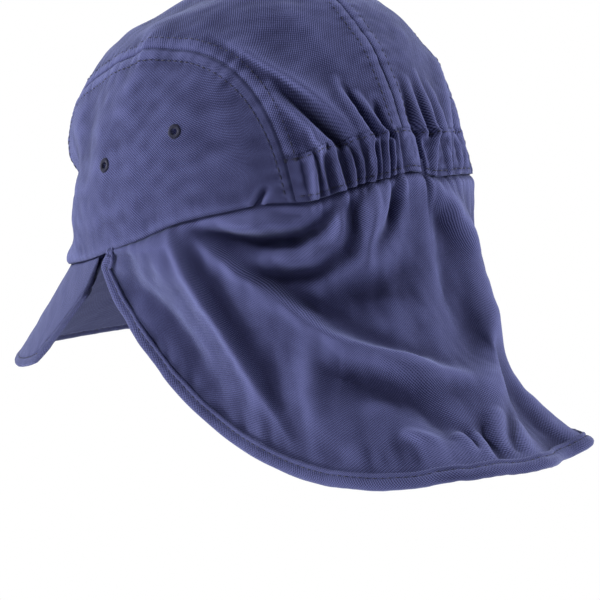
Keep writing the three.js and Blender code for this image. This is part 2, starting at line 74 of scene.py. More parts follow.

# How strongly each part of the twill moves its colour from dark to light, round the middle. The per-vertex tone
# shift carries rubbed wear, painted highlights on crests and painted shade in valleys, under the rim and under
# the peak
TWILL_MIDDLE = 0.46
TWILL_SHARE = {"ribs": 0.34, "wefts": 0.16, "lint": 0.85, "streak": 0.08, "dye": 0.12, "tone_shift": 0.36}

# Short bars of thread across the ends of the casing: angles from the back in degrees, shares of the crown height
BARS = {"from": 31.5, "to": 37.2, "up": (0.158, 0.163, 0.168)}

# Curve of the hanging flap: its reach from each end as a share of its length, and how much of the hollow its
# upper and lower part take, and how round the hollow is from side to side
HANG = 0.36
HOLLOW_HIGH = 0.22
HOLLOW_LOW = 1.2
NAPE_ROUNDNESS = 1.3

# Gathers at the top of the flap: height of the small ones, share of the casing's pleats, and where they fade
GATHER_RISE = 0.8 * MM
PLEAT_SHARE = 0.8
GATHER_FADE = 9 * MM

# Droop of the peak's sides: its power, its strength and the share of the half width beyond which it stays,
# and the place and reach of the curl of the front corners as shares of the half width
DROOP_POWER = 3.5
DROOP_SHARE = 1.54
DROOP_END = 0.9
CURL_AT = 0.72
CURL_WIDE = 0.22

# Studio lamps: place and size in metres, power in watts
LAMPS = [
    {"name": "key", "place": (1.7, -0.3, 1.5), "size": 0.45, "power": 38},
    {"name": "side", "place": (2.0, -1.5, -0.2), "size": 0.7, "power": 46},
    {"name": "right", "place": (-2.0, 1.9, 0.7), "size": 0.7, "power": 80},
]


def fold(start, by, end, wide, rise, crisp=0.0):
    """A fold from start by a middle place to end, with its reach to either side and its rise."""
    return {"start": start, "by": by, "end": end, "wide": wide, "rise": rise, "crisp": crisp}


# Rise and fall of the rim line: angle in degrees from the centre back toward the wearer's left, and the
# share of the crown height
RIM_WAVE = [
    {"at": -110, "rise": 0.01}, {"at": -60, "rise": 0.015}, {"at": -30, "rise": -0.015},
    {"at": -11, "rise": -0.02}, {"at": 0, "rise": 0.018}, {"at": 14, "rise": 0.005},
    {"at": 32, "rise": -0.024}, {"at": 46, "rise": 0.008}, {"at": 66, "rise": 0.018},
    {"at": 84, "rise": -0.004}, {"at": 101, "rise": -0.008}, {"at": 140, "rise": 0.03},
    {"at": 180, "rise": 0.045}, {"at": 220, "rise": 0.03}, {"at": 250, "rise": 0.01},
]

# Folds of the crown. start, by, end: angle from the back in degrees, share of the crown height. wide: reach
# to either side, as shares of the crown height. rise: at the start, the middle and the end, as shares too.
# The last number, where there is one: 0 rounded, 1 with a sharp crest.
CROWN_FOLDS = [
    fold((49, 0.72), (28, 0.43), (17.2, 0.19), (0.075, 0.022), (0.004, 0.05, 0.045), 0.3),
    fold((34, 0.45), (26.5, 0.31), (19.9, 0.17), (0.02, 0.018), (-0.01, -0.055, -0.045)),
    fold((36, 0.5), (29.8, 0.345), (23.2, 0.17), (0.018, 0.055), (0.01, 0.045, 0.045), 0.3),
    fold((27.6, 0.27), (26.8, 0.21), (25.6, 0.16), (0.01, 0.016), (0, 0.022, 0.03)),
    fold((16.8, 0.46), (15, 0.31), (12.2, 0.16), (0.018, 0.034), (0, 0.034, 0.042), 0.2),
    fold((15.8, 0.42), (13.5, 0.3), (11, 0.18), (0.016, 0.016), (0, -0.04, -0.045)),
    fold((11.8, 0.38), (9.9, 0.27), (7.8, 0.17), (0.016, 0.03), (0, 0.03, 0.036), 0.2),
    fold((6.6, 0.33), (6.4, 0.24), (5.2, 0.16), (0.014, 0.014), (0, -0.032, -0.045)),
    fold((-5.7, 0.42), (-4.6, 0.27), (-5.5, 0.17), (0.012, 0.012), (0, -0.02, -0.038)),
    fold((-9, 0.42), (-7.4, 0.28), (-8, 0.17), (0.016, 0.022), (0, 0.024, 0.034)),
    fold((-11, 0.38), (-10.2, 0.27), (-10.4, 0.17), (0.014, 0.014), (0, -0.02, -0.032)),
    fold((-14.4, 0.46), (-13, 0.3), (-11.8, 0.17), (0.018, 0.028), (0, 0.026, 0.03)),
    fold((-40.6, 0.53), (-30.5, 0.36), (-22.6, 0.18), (0.022, 0.055), (0.004, 0.022, 0.024), 0.1),
    fold((-41, 0.47), (-32, 0.33), (-25, 0.18), (0.022, 0.022), (-0.004, -0.018, -0.02)),
    fold((-20, 0.4), (-18.5, 0.28), (-17, 0.17), (0.018, 0.026), (0, 0.018, 0.024)),
    fold((-38, 0.34), (-34, 0.26), (-29, 0.17), (0.02, 0.03), (0, 0.01, 0.014)),
    fold((24, 0.86), (17, 0.6), (12, 0.44), (0.05, 0.05), (0.002, 0.008, 0.002)),
    fold((82, 0.93), (75, 0.78), (82, 0.56), (0.09, 0.06), (0, 0.02, 0.005)),
    fold((50, 0.96), (78, 0.93), (104, 0.96), (0.12, 0.12), (-0.01, -0.03, -0.01)),
    fold((100, 0.72), (102, 0.56), (104, 0.4), (0.12, 0.12), (-0.01, -0.03, -0.015)),
    fold((118, 0.42), (131, 0.32), (150, 0.3), (0.13, 0.13), (-0.05, -0.13, -0.05)),
    fold((118, 0.13), (133, 0.1), (150, 0.1), (0.04, 0.04), (-0.01, -0.025, -0.015)),
    fold((118, 0.02), (132, 0.01), (148, 0.01), (0.07, 0.07), (0.01, 0.025, 0.01)),
    fold((218, 0.3), (228, 0.34), (240, 0.42), (0.15, 0.15), (-0.02, -0.045, -0.02)),
    fold((280, 0.9), (284, 0.76), (278, 0.56), (0.08, 0.08), (0.005, 0.02, 0.005)),
    fold((160, 0.97), (178, 0.9), (196, 0.96), (0.16, 0.16), (-0.01, -0.03, -0.01)),
]

# Gathers of the casing from its lower to its upper edge, and a pinched notch at the rim, in the same terms
PLEATS = [
    fold((29.8, 0), (28.9, 0.08), (28.6, 0.16), (0.026, 0.008), (0.016, 0.036, 0.02)),
    fold((26.6, 0), (26.6, 0.11), (25.4, 0.18), (0.016, 0.007), (0.01, 0.034, 0.024)),
    fold((22, 0), (22.7, 0.1), (23.4, 0.18), (0.026, 0.008), (0.024, 0.042, 0.026)),
    fold((19.1, 0), (18.6, 0.08), (19.4, 0.17), (0.022, 0.008), (0.022, 0.036, 0.018)),
    fold((16.6, 0), (15.8, 0.08), (16.3, 0.16), (0.02, 0.008), (0.014, 0.03, 0.014)),
    fold((13.6, 0), (12.6, 0.08), (12.8, 0.17), (0.026, 0.008), (0.026, 0.044, 0.024)),
    fold((11.4, 0), (10.5, 0.09), (9.9, 0.17), (0.016, 0.007), (0.01, 0.022, 0.012)),
    fold((9.1, 0), (8.3, 0.08), (7.1, 0.17), (0.024, 0.008), (0.022, 0.04, 0.024)),
    fold((6.6, 0), (6, 0.08), (5.2, 0.17), (0.016, 0.007), (0.01, 0.024, 0.014)),
    fold((3.8, 0), (4.1, 0.08), (3.4, 0.17), (0.02, 0.008), (0.016, 0.03, 0.02)),
    fold((-1, 0), (-1, 0.09), (-1, 0.17), (0.03, 0.03), (0.012, 0.012, 0.01)),
    fold((-4.8, 0), (-5.5, 0.09), (-5.4, 0.18), (0.009, 0.009), (-0.03, -0.045, -0.04)),
    fold((-8.4, 0), (-9.8, 0.07), (-12.5, 0.17), (0.022, 0.012), (0.01, 0.026, 0.02)),
    fold((-16.2, 0), (-16.8, 0.06), (-19.4, 0.17), (0.024, 0.012), (0.008, 0.02, 0.014)),
    fold((-22.3, 0), (-24.6, 0.07), (-24.2, 0.17), (0.022, 0.012), (0.006, 0.014, 0.01)),
    fold((-28, 0), (-29.6, 0.07), (-28.8, 0.17), (0.022, 0.012), (0.006, 0.012, 0.01)),
    fold((42.3, 0.06), (44.2, 0.03), (46.2, -0.01), (0.012, 0.012), (-0.006, -0.026, -0.04)),
]

# Free edge of the flap from a front corner to the centre back, as shares of the half width, the half length
# and the flap's drop. The rows are mirrored, and the right half trails a little less.
HEM = [
    {"side": 0.985, "back": -0.125, "drop": 0.055}, {"side": 0.955, "back": -0.09, "drop": 0.205},
    {"side": 0.905, "back": 0.09, "drop": 0.478}, {"side": 0.865, "back": 0.33, "drop": 0.678},
    {"side": 0.84, "back": 0.62, "drop": 0.823}, {"side": 0.795, "back": 0.92, "drop": 0.918},
    {"side": 0.7, "back": 1.16, "drop": 0.957}, {"side": 0.53, "back": 1.37, "drop": 0.973},
    {"side": 0.29, "back": 1.42, "drop": 0.99},
]
HEM_BACK = 1.41
RIGHT_TRAIL = 0.86

# Folds of the flap. start, by, end: share of the way from the right front corner round to the left one,
# share of the drop. wide: reach to either side. rise: at the start, the middle and the end. Both in relief
# units. The last number, where there is one: 0 rounded, 1 with a sharp crest.
FLAP_FOLDS = [
    fold((0.877, 0.05), (0.822, 0.48), (0.735, 0.92), (0.34, 1.4), (0.3, 0.85, 0.2), 0.7),
    fold((0.93, 0.04), (0.9, 0.2), (0.87, 0.36), (0.9, 0.9), (0.15, 0.3, 0.05)),
    fold((0.957, 0.58), (0.891, 0.69), (0.843, 0.85), (0.6, 0.6), (-0.2, -0.45, -0.2)),
    fold((0.842, 0.1), (0.714, 0.4), (0.563, 0.62), (0.22, 1.6), (0.2, 0.85, 0.3), 0.9),
    fold((0.8, 0.2), (0.7, 0.37), (0.6, 0.52), (0.6, 0.6), (-0.05, -0.2, -0.1)),
    fold((0.834, 0.045), (0.74, 0.135), (0.635, 0.03), (0.4, 0.55), (-0.3, -0.9, -0.5), 0.1),
    fold((0.8, 0.02), (0.764, 0.065), (0.7, 0.03), (0.28, 0.28), (0.1, 0.35, 0.1), 0.2),
    fold((0.735, 0.005), (0.7, 0.04), (0.66, 0.005), (0.25, 0.25), (-0.2, -0.4, -0.2)),
    fold((0.77, 0.29), (0.71, 0.255), (0.633, 0.18), (0.5, 0.6), (-0.2, -0.6, -0.2), 0.1),
    fold((0.74, 0.19), (0.69, 0.2), (0.64, 0.11), (0.5, 0.4), (0.1, 0.3, 0.1)),
    fold((0.71, 0.34), (0.62, 0.36), (0.51, 0.27), (1.1, 1.1), (-0.3, -0.6, -0.2)),
    fold((0.64, 0.25), (0.6, 0.26), (0.56, 0.22), (0.6, 0.6), (0.1, 0.3, 0.1)),
    fold((0.627, 0), (0.631, 0.08), (0.639, 0.17), (0.22, 0.3), (0.4, 0.45, 0.05), 0.3),
    fold((0.605, 0.01), (0.607, 0.08), (0.612, 0.15), (0.22, 0.22), (-0.3, -0.35, -0.1)),
    fold((0.574, 0), (0.584, 0.1), (0.6, 0.23), (0.3, 0.45), (0.5, 0.6, 0.15), 0.3),
    fold((0.552, 0), (0.562, 0.08), (0.581, 0.16), (0.2, 0.3), (0.35, 0.4, 0.05), 0.3),
    fold((0.521, 0), (0.522, 0.03), (0.525, 0.07), (0.2, 0.2), (0.35, 0.3, 0.0), 0.3),
    fold((0.537, 0.01), (0.541, 0.08), (0.563, 0.16), (0.28, 0.28), (-0.4, -0.5, -0.15), 0.1),
    fold((0.47, 0), (0.42, 0.12), (0.355, 0.27), (0.8, 0.5), (0.4, 0.6, 0.1), 0.3),
    fold((0.375, 0.2), (0.385, 0.45), (0.46, 0.72), (0.9, 0.9), (0.2, 0.6, 0.3), 0.2),
    fold((0.335, 0.24), (0.37, 0.45), (0.47, 0.76), (1.4, 0.8), (0, 0.3, 0.6), 0.2),
    fold((0.459, 0.1), (0.43, 0.22), (0.455, 0.4), (0.5, 0.6), (-0.1, -0.25, -0.1), 0.1),
    fold((0.672, 0.52), (0.706, 0.7), (0.66, 0.93), (1.5, 1.0), (0.15, 0.5, 0.2)),
    fold((0.66, 0.63), (0.6, 0.7), (0.556, 0.87), (0.8, 0.8), (-0.2, -0.6, -0.3)),
    fold((0.656, 0.56), (0.58, 0.635), (0.51, 0.7), (0.5, 0.6), (0.1, 0.4, 0.25), 0.2),
    fold((0.556, 0.86), (0.552, 0.9), (0.548, 0.97), (0.3, 0.3), (0.1, 0.45, 0.3), 0.1),
    fold((0.542, 0.86), (0.545, 0.9), (0.549, 0.96), (0.25, 0.25), (-0.1, -0.45, -0.3), 0.1),
    fold((0.537, 0.87), (0.539, 0.91), (0.543, 0.97), (0.25, 0.25), (0.1, 0.4, 0.3), 0.1),
    fold((0.516, 0.84), (0.526, 0.89), (0.534, 0.96), (0.35, 0.35), (-0.15, -0.38, -0.25), 0.1),
    fold((0.49, 0.82), (0.509, 0.87), (0.52, 0.94), (0.35, 0.35), (0.05, 0.28, 0.2), 0.2),
    fold((0.475, 0.84), (0.497, 0.89), (0.51, 0.95), (0.3, 0.3), (-0.05, -0.22, -0.18)),
    fold((0.455, 0.84), (0.48, 0.89), (0.498, 0.95), (0.35, 0.35), (0.05, 0.22, 0.14), 0.2),
    fold((0.607, 0.84), (0.594, 0.87), (0.579, 0.9), (0.25, 0.25), (0.05, 0.25, 0.05), 0.1),
    fold((0.14, 0.06), (0.2, 0.5), (0.27, 0.88), (0.9, 0.5), (0.2, 0.7, 0.2), 0.4),
    fold((0.06, 0.6), (0.13, 0.72), (0.18, 0.86), (0.6, 0.6), (-0.2, -0.5, -0.2), 0.1),
    fold((0.15, 0.06), (0.19, 0.14), (0.24, 0.04), (0.5, 0.5), (-0.2, -0.4, -0.2), 0.1),
    fold((0.22, 0.3), (0.3, 0.5), (0.36, 0.78), (1.0, 0.8), (-0.1, -0.6, -0.2)),
    fold((0.17, 0.12), (0.27, 0.36), (0.36, 0.62), (1.0, 0.3), (0.1, 0.4, 0.1), 0.6),
    fold((0.07, 0.05), (0.1, 0.2), (0.13, 0.4), (0.6, 0.4), (0.1, 0.3, 0.05), 0.3),
]

# Side panel eyelets: angle from the back in degrees, share of the crown height
EYELETS = [
    {"name": "back", "at": 64, "up": 0.37},
    {"name": "front", "at": 90, "up": 0.34},
]


def length(name, description, default):
    """A length setting, in metres."""
    return FloatProperty(name=name, description=description, default=default, min=0, unit="LENGTH", precision=5)


def share(name, description, default, top=4.0):
    """A plain number setting."""
    return FloatProperty(name=name, description=description, default=default, min=0, max=top)


def whole(name, description, default):
    """A count."""
    return IntProperty(name=name, description=description, default=default, min=4)


def angle(name, description, degrees):
    """An angle setting."""
    return FloatProperty(name=name, description=description, default=math.radians(degrees), subtype="ANGLE")


def colour(name, description, rgb):
    """A colour setting, in linear light."""
    return FloatVectorProperty(name=name, description=description, default=rgb, subtype="COLOR", min=0, max=1)


class CAP_PG_crown(bpy.types.PropertyGroup):
    half_length: length("Half length", "From the middle of the head opening to its back", 0.097)
    half_width: length("Half width", "From the middle of the head opening to its side", 0.080)
    height: length("Height", "Height of the crown above the rim", 0.100)
    squareness: share("Squareness", "Power of the crown's profile, 2 for an ellipse", 2.5, 6)
    lean: length("Lean", "How far the top leans back", 0.004)
    cloth: length("Cloth", "Thickness of the crown's cloth with its allowances", 0.0013)
    seam_at_rim: length("Seam at the rim", "Distance of a side seam from the middle plane at the rim", 0.0464)
    seam_at_top: length("Seam at the top", "Distance of a side seam from the middle plane over the top", 0.061)
    gap: length("Gap", "Room between pieces that lie against each other", 0.0003)


class CAP_PG_seam(bpy.types.PropertyGroup):
    ditch: length("Ditch", "Depth of the line where two panels meet", 0.00024)
    lift: length("Lift", "Rise of the doubled cloth beside a seam", 0.0004)
    groove: length("Groove", "Depth of a line of stitches", 0.0005)
    pucker: length("Pucker", "Height of the ripples that the stitches draw up", 0.00016)
    low_offset: length("Offset at the rim", "From a side seam to its stitches at the rim", 0.0037)
    top_offset: length("Offset over the top", "From a side seam to its stitches over the top", 0.0054)
    centre_offset: length("Centre offset", "From the centre seam to its stitches", 0.0046)
    stitch: length("Stitch", "Length of a stitch", 0.0024)
    pitch: length("Pitch", "From one stitch to the next", 0.0032)
    thread: length("Thread", "Thickness of the sewing thread", 0.00052)


class CAP_PG_casing(bpy.types.PropertyGroup):
    height: length("Height", "Height of the elastic casing", 0.018)
    pleats: whole("Pleats", "Number of small gathers across the casing", 23)
    rise: length("Rise", "How far the small gathers stand out", 0.0005)
    top_line: length("Upper line", "Height of the casing's upper line of stitches", 0.0166)
    low_line: length("Lower line", "Height of the casing's lower line of stitches", 0.0022)


class CAP_PG_flap(bpy.types.PropertyGroup):
    corner: angle("Corner", "Angle from the back to a front corner of the flap", 94)
    drop: length("Drop", "From the rim to the lowest point of the hem", 0.122)
    cloth: length("Cloth", "Thickness of the doubled cloth", 0.0012)
    tuck: length("Tuck", "How far the flap reaches up inside the crown", 0.006)
    hollow: length("Hollow", "How far the flap is drawn in at the nape", 0.030)
    relief: length("Relief unit", "Unit of the sizes in the table of folds", 0.010)
    shoulder: length("Shoulder", "How far the flap swells out just under the rim", 0.0009)
    cut_width: length("Cut width", "Width of the flap's flat cut along the rim", 0.30)
    cut_length: length("Cut length", "Longest drop of the flap's flat cut", 0.16)
    hem_spread: length("Hem spread", "Length over which the weave lies along the hem", 0.43)
    cut_area: FloatProperty(name="Cut area", description="Flat area of the cut", default=0.0370, unit="AREA")


class CAP_PG_binding(bpy.types.PropertyGroup):
    width: length("Width", "Width of the folded binding", 0.006)
    cloth: length("Cloth", "Thickness of a folded layer", 0.0009)
    grip: length("Grip", "How far the flap's edge reaches into the binding", 0.003)
    line: length("Line", "From the binding's inner edge to its stitches", 0.0018)


class CAP_PG_peak(bpy.types.PropertyGroup):
    reach: length("Reach", "From the front rim to the free edge of the peak", 0.068)
    thickness: length("Thickness", "Thickness of the covered board", 0.0026)
    spread: angle("Spread", "Angle from the front to a corner of the peak", 79)
    slope: angle("Slope", "Slope of the peak at its middle", 19.5)
    droop: length("Droop", "How far the sides hang lower than the middle at full reach", 0.027)
    squareness: share("Squareness", "Power of the free edge's outline", 2.5, 6)
    curl: length("Curl", "How far the front corners curl down further", 0.0028)
    line: length("Line", "From the free edge to its stitches", 0.0048)


class CAP_PG_eyelet(bpy.types.PropertyGroup):
    radius: length("Radius", "Outer radius of an eyelet", 0.0031)
    hole: length("Hole", "Radius of its hole", 0.0013)
    height: length("Height", "Rise of its threads above the cloth", 0.0009)
    thread: length("Thread", "Half the thickness of one of its threads", 0.00033)
    threads: whole("Threads", "Number of thread loops round an eyelet", 26)


class CAP_PG_cloth(bpy.types.PropertyGroup):
    # dark is also the colour of the painted shade in valleys, under the rim and under the peak; light is also
    # that of the painted highlights on crests
    dark: colour("Dark", "Colour of the cloth between its ribs", (0.013, 0.014, 0.048))
    mid: colour("Mid", "Main colour of the cloth", (0.038, 0.042, 0.118))
    light: colour("Light", "Colour of rubbed edges and raised threads", (0.104, 0.113, 0.268))
    thread: colour("Thread", "Colour of the sewing thread", (0.008, 0.009, 0.030))
    sheen: colour("Sheen", "Colour of the fuzz that shows at a grazing angle", (0.50, 0.57, 0.95))
    twill: length("Twill pitch", "Distance between two ribs of the twill", 0.00076)


class CAP_PG_stage(bpy.types.PropertyGroup):
    azimuth: angle("Azimuth", "Direction of the camera round the cap", 142.355)
    elevation: angle("Elevation", "Direction of the camera above the horizon", -2.941)
    roll: angle("Roll", "Tilt of the camera", -12.602)
    place: FloatVectorProperty(
        name="Place", description="Place of the camera", default=(0.7273, 0.9503, -0.0964), unit="LENGTH"
    )
    lens: FloatProperty(name="Lens", description="Focal length in millimetres", default=169.6)
    floor_drop: length("Floor drop", "From the rim down to the floor", 0.95)
    near_light: share("Near light", "Strength of the studio's light from the camera's side", 0.07)
    far_light: share("Far light", "Strength of the studio's light from behind the cap", 1.3)


GROUPS = {
    "cap_crown": CAP_PG_crown, "cap_seam": CAP_PG_seam, "cap_casing": CAP_PG_casing, "cap_flap": CAP_PG_flap,
    "cap_binding": CAP_PG_binding, "cap_peak": CAP_PG_peak, "cap_eyelet": CAP_PG_eyelet,
    "cap_cloth": CAP_PG_cloth, "cap_stage": CAP_PG_stage,
}


def unit(vectors):
    """The vectors at length 1."""
    return vectors / np.maximum(np.linalg.norm(vectors, axis=-1, keepdims=True), 1e-12)


def square_to(vectors, along):
    """The vectors at length 1, without their share along unit vectors."""
    return unit(vectors - (vectors * along).sum(1, keepdims=True) * along)


def run_of(points):
    """Length gone along a line at each of its points."""
    return np.concatenate([[0], np.cumsum(np.linalg.norm(np.diff(points, axis=0), axis=1))])


def on_line(at, gone, rows):
    """Rows of three numbers that belong to lengths gone along a line, read off at other lengths."""
    return np.stack([np.interp(at, gone, rows[:, k]) for k in range(3)], -1)


def averaged(rows, reach):
    """The rows, each averaged with its neighbours on both sides; those near the ends stay."""
    eased = rows.copy()
    inner = len(rows) - reach
    eased[reach:inner] = sum(rows[reach + k:inner + k] for k in range(-reach, reach + 1)) / (2 * reach + 1)
    return eased


def smooth(value, low, high):
    """0 below low, 1 above high and eased between."""
    t = np.clip((value - low) / (high - low), 0, 1)
    return t * t * (3 - 2 * t)


def mix(a, b, t):
    """The value at share t from a to b."""
    return a + (b - a) * t


def bell(distance, wide):
    """1 at distance 0, and fading out over wide."""
    return np.exp(-((distance / wide) ** 2))


def ripples(places, size, seed, count=10):
    """Smooth irregular waves about size long, from -1 to 1, at places or along lengths."""
    places = np.asarray(places)
    flat = places.reshape(len(places), -1)
    rng = np.random.default_rng(seed)
    total = np.zeros(len(flat))
    for _ in range(count):
        way = rng.normal(size=flat.shape[1])
        way *= 2 * math.pi * rng.uniform(0.6, 1.6) / (size * np.linalg.norm(way))
        total += np.sin(flat @ way + rng.uniform(0, 2 * math.pi))
    return total / math.sqrt(count)


def from_table(rows, column, at):
    """A column's value at angles in degrees, eased from row to row and round the whole turn."""
    first = rows[0]["at"]
    turned = first + np.mod(at - first, 360)
    stops = [row["at"] for row in rows] + [first + 360]
    values = [row[column] for row in rows] + [rows[0][column]]
    value = np.zeros_like(turned, dtype=float)
    for i in range(len(rows)):
        here = (turned >= stops[i]) & (turned <= stops[i + 1])
        value[here] = mix(values[i], values[i + 1], smooth(turned[here], stops[i], stops[i + 1]))
    return value


def nearest(places, line):
    """Distance of each place to a line of points, and how far along the line its nearest point is."""
    start = line[:-1]
    step = line[1:] - start
    size = np.linalg.norm(step, axis=1)
    before = np.concatenate([[0], np.cumsum(size)[:-1]])
    distance = np.full(len(places), 1e9)
    along = np.zeros(len(places))
    for k in range(len(step)):
        away = places - start[k]
        part = np.clip(away @ step[k] / max(size[k] ** 2, 1e-18), 0, 1)
        gone = np.linalg.norm(away - part[:, None] * step[k], axis=1)
        closer = gone < distance
        distance[closer] = gone[closer]
        along[closer] = before[k] + part[closer] * size[k]
    return distance, along


def relief(places, outs, folds):
    """Height of all folds at the places: each is a ridge or a valley along its path."""
    total = np.zeros(len(places))
    for fold in folds:
        path = fold["path"]
        reach = 3.2 * max(fold["wide"])
        near = np.flatnonzero(((places > path.min(0) - reach) & (places < path.max(0) + reach)).all(1))
        if not len(near):
            continue
        start = path[:-1]
        step = path[1:] - start
        away = places[near][:, None] - start[None]
        part = np.clip((away * step).sum(2) / (step**2).sum(1), 0, 1)
        off = away - part[..., None] * step
        gone = np.linalg.norm(off, axis=2)
        k = gone.argmin(1)
        rows = np.arange(len(near))
        along = (k + part[rows, k]) / len(step)
        side = (np.cross(step[k], off[rows, k]) * outs[near]).sum(1)
        full = np.linalg.norm(step[k], axis=1) * gone[rows, k]
        lean = 0.5 + 0.5 * np.clip(side / np.maximum(full, 1e-12), -1, 1)
        wide = mix(fold["wide"][1], fold["wide"][0], lean)
        first, middle, last = fold["rise"]
        rise = first * (1 - along) * (1 - 2 * along) + 4 * middle * along * (1 - along)
        rise = rise + last * along * (2 * along - 1)
        best = gone[rows, k] / wide
        round_top = np.exp(-(best**2))
        tip = 0.7 * MM / wide
        sharp_top = np.exp(1.6 * (tip - np.sqrt(best**2 + tip**2)))
        total[near] += rise * mix(round_top, sharp_top, fold["crisp"])
    return total


def laid_folds(rows, surface, size):
    """Folds with their paths on a surface and their real sizes worked out."""
    laid = []
    s = np.linspace(0, 1, 13)[:, None]
    for row in rows:
        start, by, end = (np.array(row[k], float) for k in ("start", "by", "end"))
        pull = 2 * by - (start + end) / 2
        at = (1 - s) ** 2 * start + 2 * s * (1 - s) * pull + s**2 * end
        laid.append({
            "path": surface(at[:, 0], at[:, 1]),
            "wide": [size * v for v in row["wide"]],
            "rise": [size * v for v in row["rise"]],
            "crisp": row["crisp"],
        })
    return laid


class Crown:
    """Places on the crown, with its folds, seams and gathers."""

    def __init__(self, scene):
        self.size = scene.cap_crown
        self.seam = scene.cap_seam
        self.casing = scene.cap_casing
        self.broad = laid_folds(CROWN_FOLDS, self.at_degrees, self.size.height)
        self.gathers = laid_folds(PLEATS, self.at_degrees, self.size.height)
        self.folds = self.broad + self.gathers
        turns = np.linspace(0.02, math.pi - 0.02, 150)
        self.side_seam = self.arch(self.seam_across(turns), turns)
        self.centre_seam = self.arch(np.zeros_like(turns), turns)

    def at(self, turned, height):
        """Points of the plain crown at angles from the back and heights."""
        s = self.size
        reach = (1 - np.minimum(np.abs(height) / s.height, 1) ** s.squareness) ** (1 / s.squareness)
        reach, turned, height = np.broadcast_arrays(reach, turned, height)
        x, y = s.half_width * reach * np.sin(turned), s.half_length * reach * np.cos(turned)
        return np.stack([x, y, height], -1)

    def at_degrees(self, turned, rise):
        """Points of the plain crown at angles in degrees and shares of its height."""
        return self.at(np.radians(turned), np.asarray(rise) * self.size.height)

    def level(self, places):
        """How far out the places lie, 1 on the plain crown."""
        s = self.size
        flat = np.hypot(places[:, 0] / s.half_width, places[:, 1] / s.half_length)
        return (flat**s.squareness + np.abs(places[:, 2] / s.height) ** s.squareness) ** (1 / s.squareness)

    def onto(self, places):
        """The places moved to the plain crown."""
        return places / self.level(places)[:, None]

    def arch(self, x, turn):
        """Points of the plain crown at a distance from the middle plane and a turn from the back to the front."""
        x, turn = np.broadcast_arrays(np.asarray(x, float), np.asarray(turn, float))
        low = np.zeros_like(turn)
        high = np.full_like(turn, self.size.half_length + self.size.height)
        for _ in range(40):
            middle = (low + high) / 2
            inside = self.level(np.stack([x, middle * np.cos(turn), middle * np.sin(turn)], -1)) < 1
            low = np.where(inside, middle, low)
            high = np.where(inside, high, middle)
        return np.stack([x, low * np.cos(turn), low * np.sin(turn)], -1)

    def out(self, places):
        """Outward directions of the plain crown."""
        s = self.size
        flat = np.hypot(places[:, 0] / s.half_width, places[:, 1] / s.half_length)
        side = flat ** (s.squareness - 2)
        climb = np.sign(places[:, 2]) * np.abs(places[:, 2] / s.height) ** (s.squareness - 1) / s.height
        return unit(np.stack([
            side * places[:, 0] / s.half_width**2, side * places[:, 1] / s.half_length**2, climb], -1))

    def seam_across(self, turn):
        """Distance of the side seam from the middle plane."""
        return mix(self.size.seam_at_rim, self.size.seam_at_top, np.sin(turn) ** 3)

    def stitch_offset(self, places):
        """Distance of the stitches from the side seam, wider over the top."""
        high = smooth(places[:, 2], 0, 0.8 * self.size.height)
        return mix(self.seam.low_offset, self.seam.top_offset, high)

    def pleat(self, places):
        """Rise of the gathers, 0 to 1, across the back."""
        s, seed = self.size, 3
        span = math.asin(s.seam_at_rim / s.half_width)
        turned = np.arctan2(places[:, 0] / s.half_width, places[:, 1] / s.half_length)
        across = 0.5 + turned / (2 * span)
        up = places[:, 2] / self.casing.height
        shift = 0.34 * ripples(across, 0.16, seed) + 0.16 * ripples(across, 0.1, seed + 1) * (up - 0.5)
        phase = self.casing.pleats * across + shift
        which = np.floor(phase).astype(int)
        amount = np.random.default_rng(seed).uniform(0.45, 1.15, 80)[np.clip(which + 20, 0, 79)]
        return amount * np.abs(np.sin(math.pi * phase)) ** 0.8

    def rim_lift(self, places):
        """How far the rim line rises at the angles of the places."""
        s = self.size
        turned = np.degrees(np.arctan2(places[:, 0] / s.half_width, places[:, 1] / s.half_length))
        return from_table(RIM_WAVE, "rise", turned) * s.height

    def worn(self, places):
        """The places with the folds of the crown, the wave of the rim and small irregular waves."""
        out = self.out(places)
        lift = self.rim_lift(places) * np.maximum(1 - places[:, 2] / self.size.height, 0) ** 2
        small = 0.35 * MM * ripples(places, 24 * MM, 7, 16) + 0.10 * MM * ripples(places, 8 * MM, 8, 16)
        rise = relief(places, out, self.folds) + small
        lean = np.stack([0 * lift, self.size.lean * (places[:, 2] / self.size.height) ** 2, lift], -1)
        return places + out * rise[:, None] + lean

    def seam_rise(self, distance, along, offset, seed):
        """Rise beside a seam: the ditch, the doubled cloth, the line of stitches and its puckers."""
        s = self.seam
        ditch = -s.ditch * bell(distance, 0.6 * MM)
        lift = s.lift * smooth(distance, 0.4 * MM, 1.6 * MM) * (1 - smooth(distance, offset, offset + 1.4 * MM))
        beat = 0.65 + 0.35 * np.cos(2 * math.pi * along / s.pitch)
        groove = -s.groove * beat * bell(distance - offset, 0.6 * MM)
        drawn = ripples(along, 5.5 * MM, seed, 8) * bell(distance - 0.7 * offset, 4.5 * MM)
        return ditch + lift + groove + s.pucker * drawn

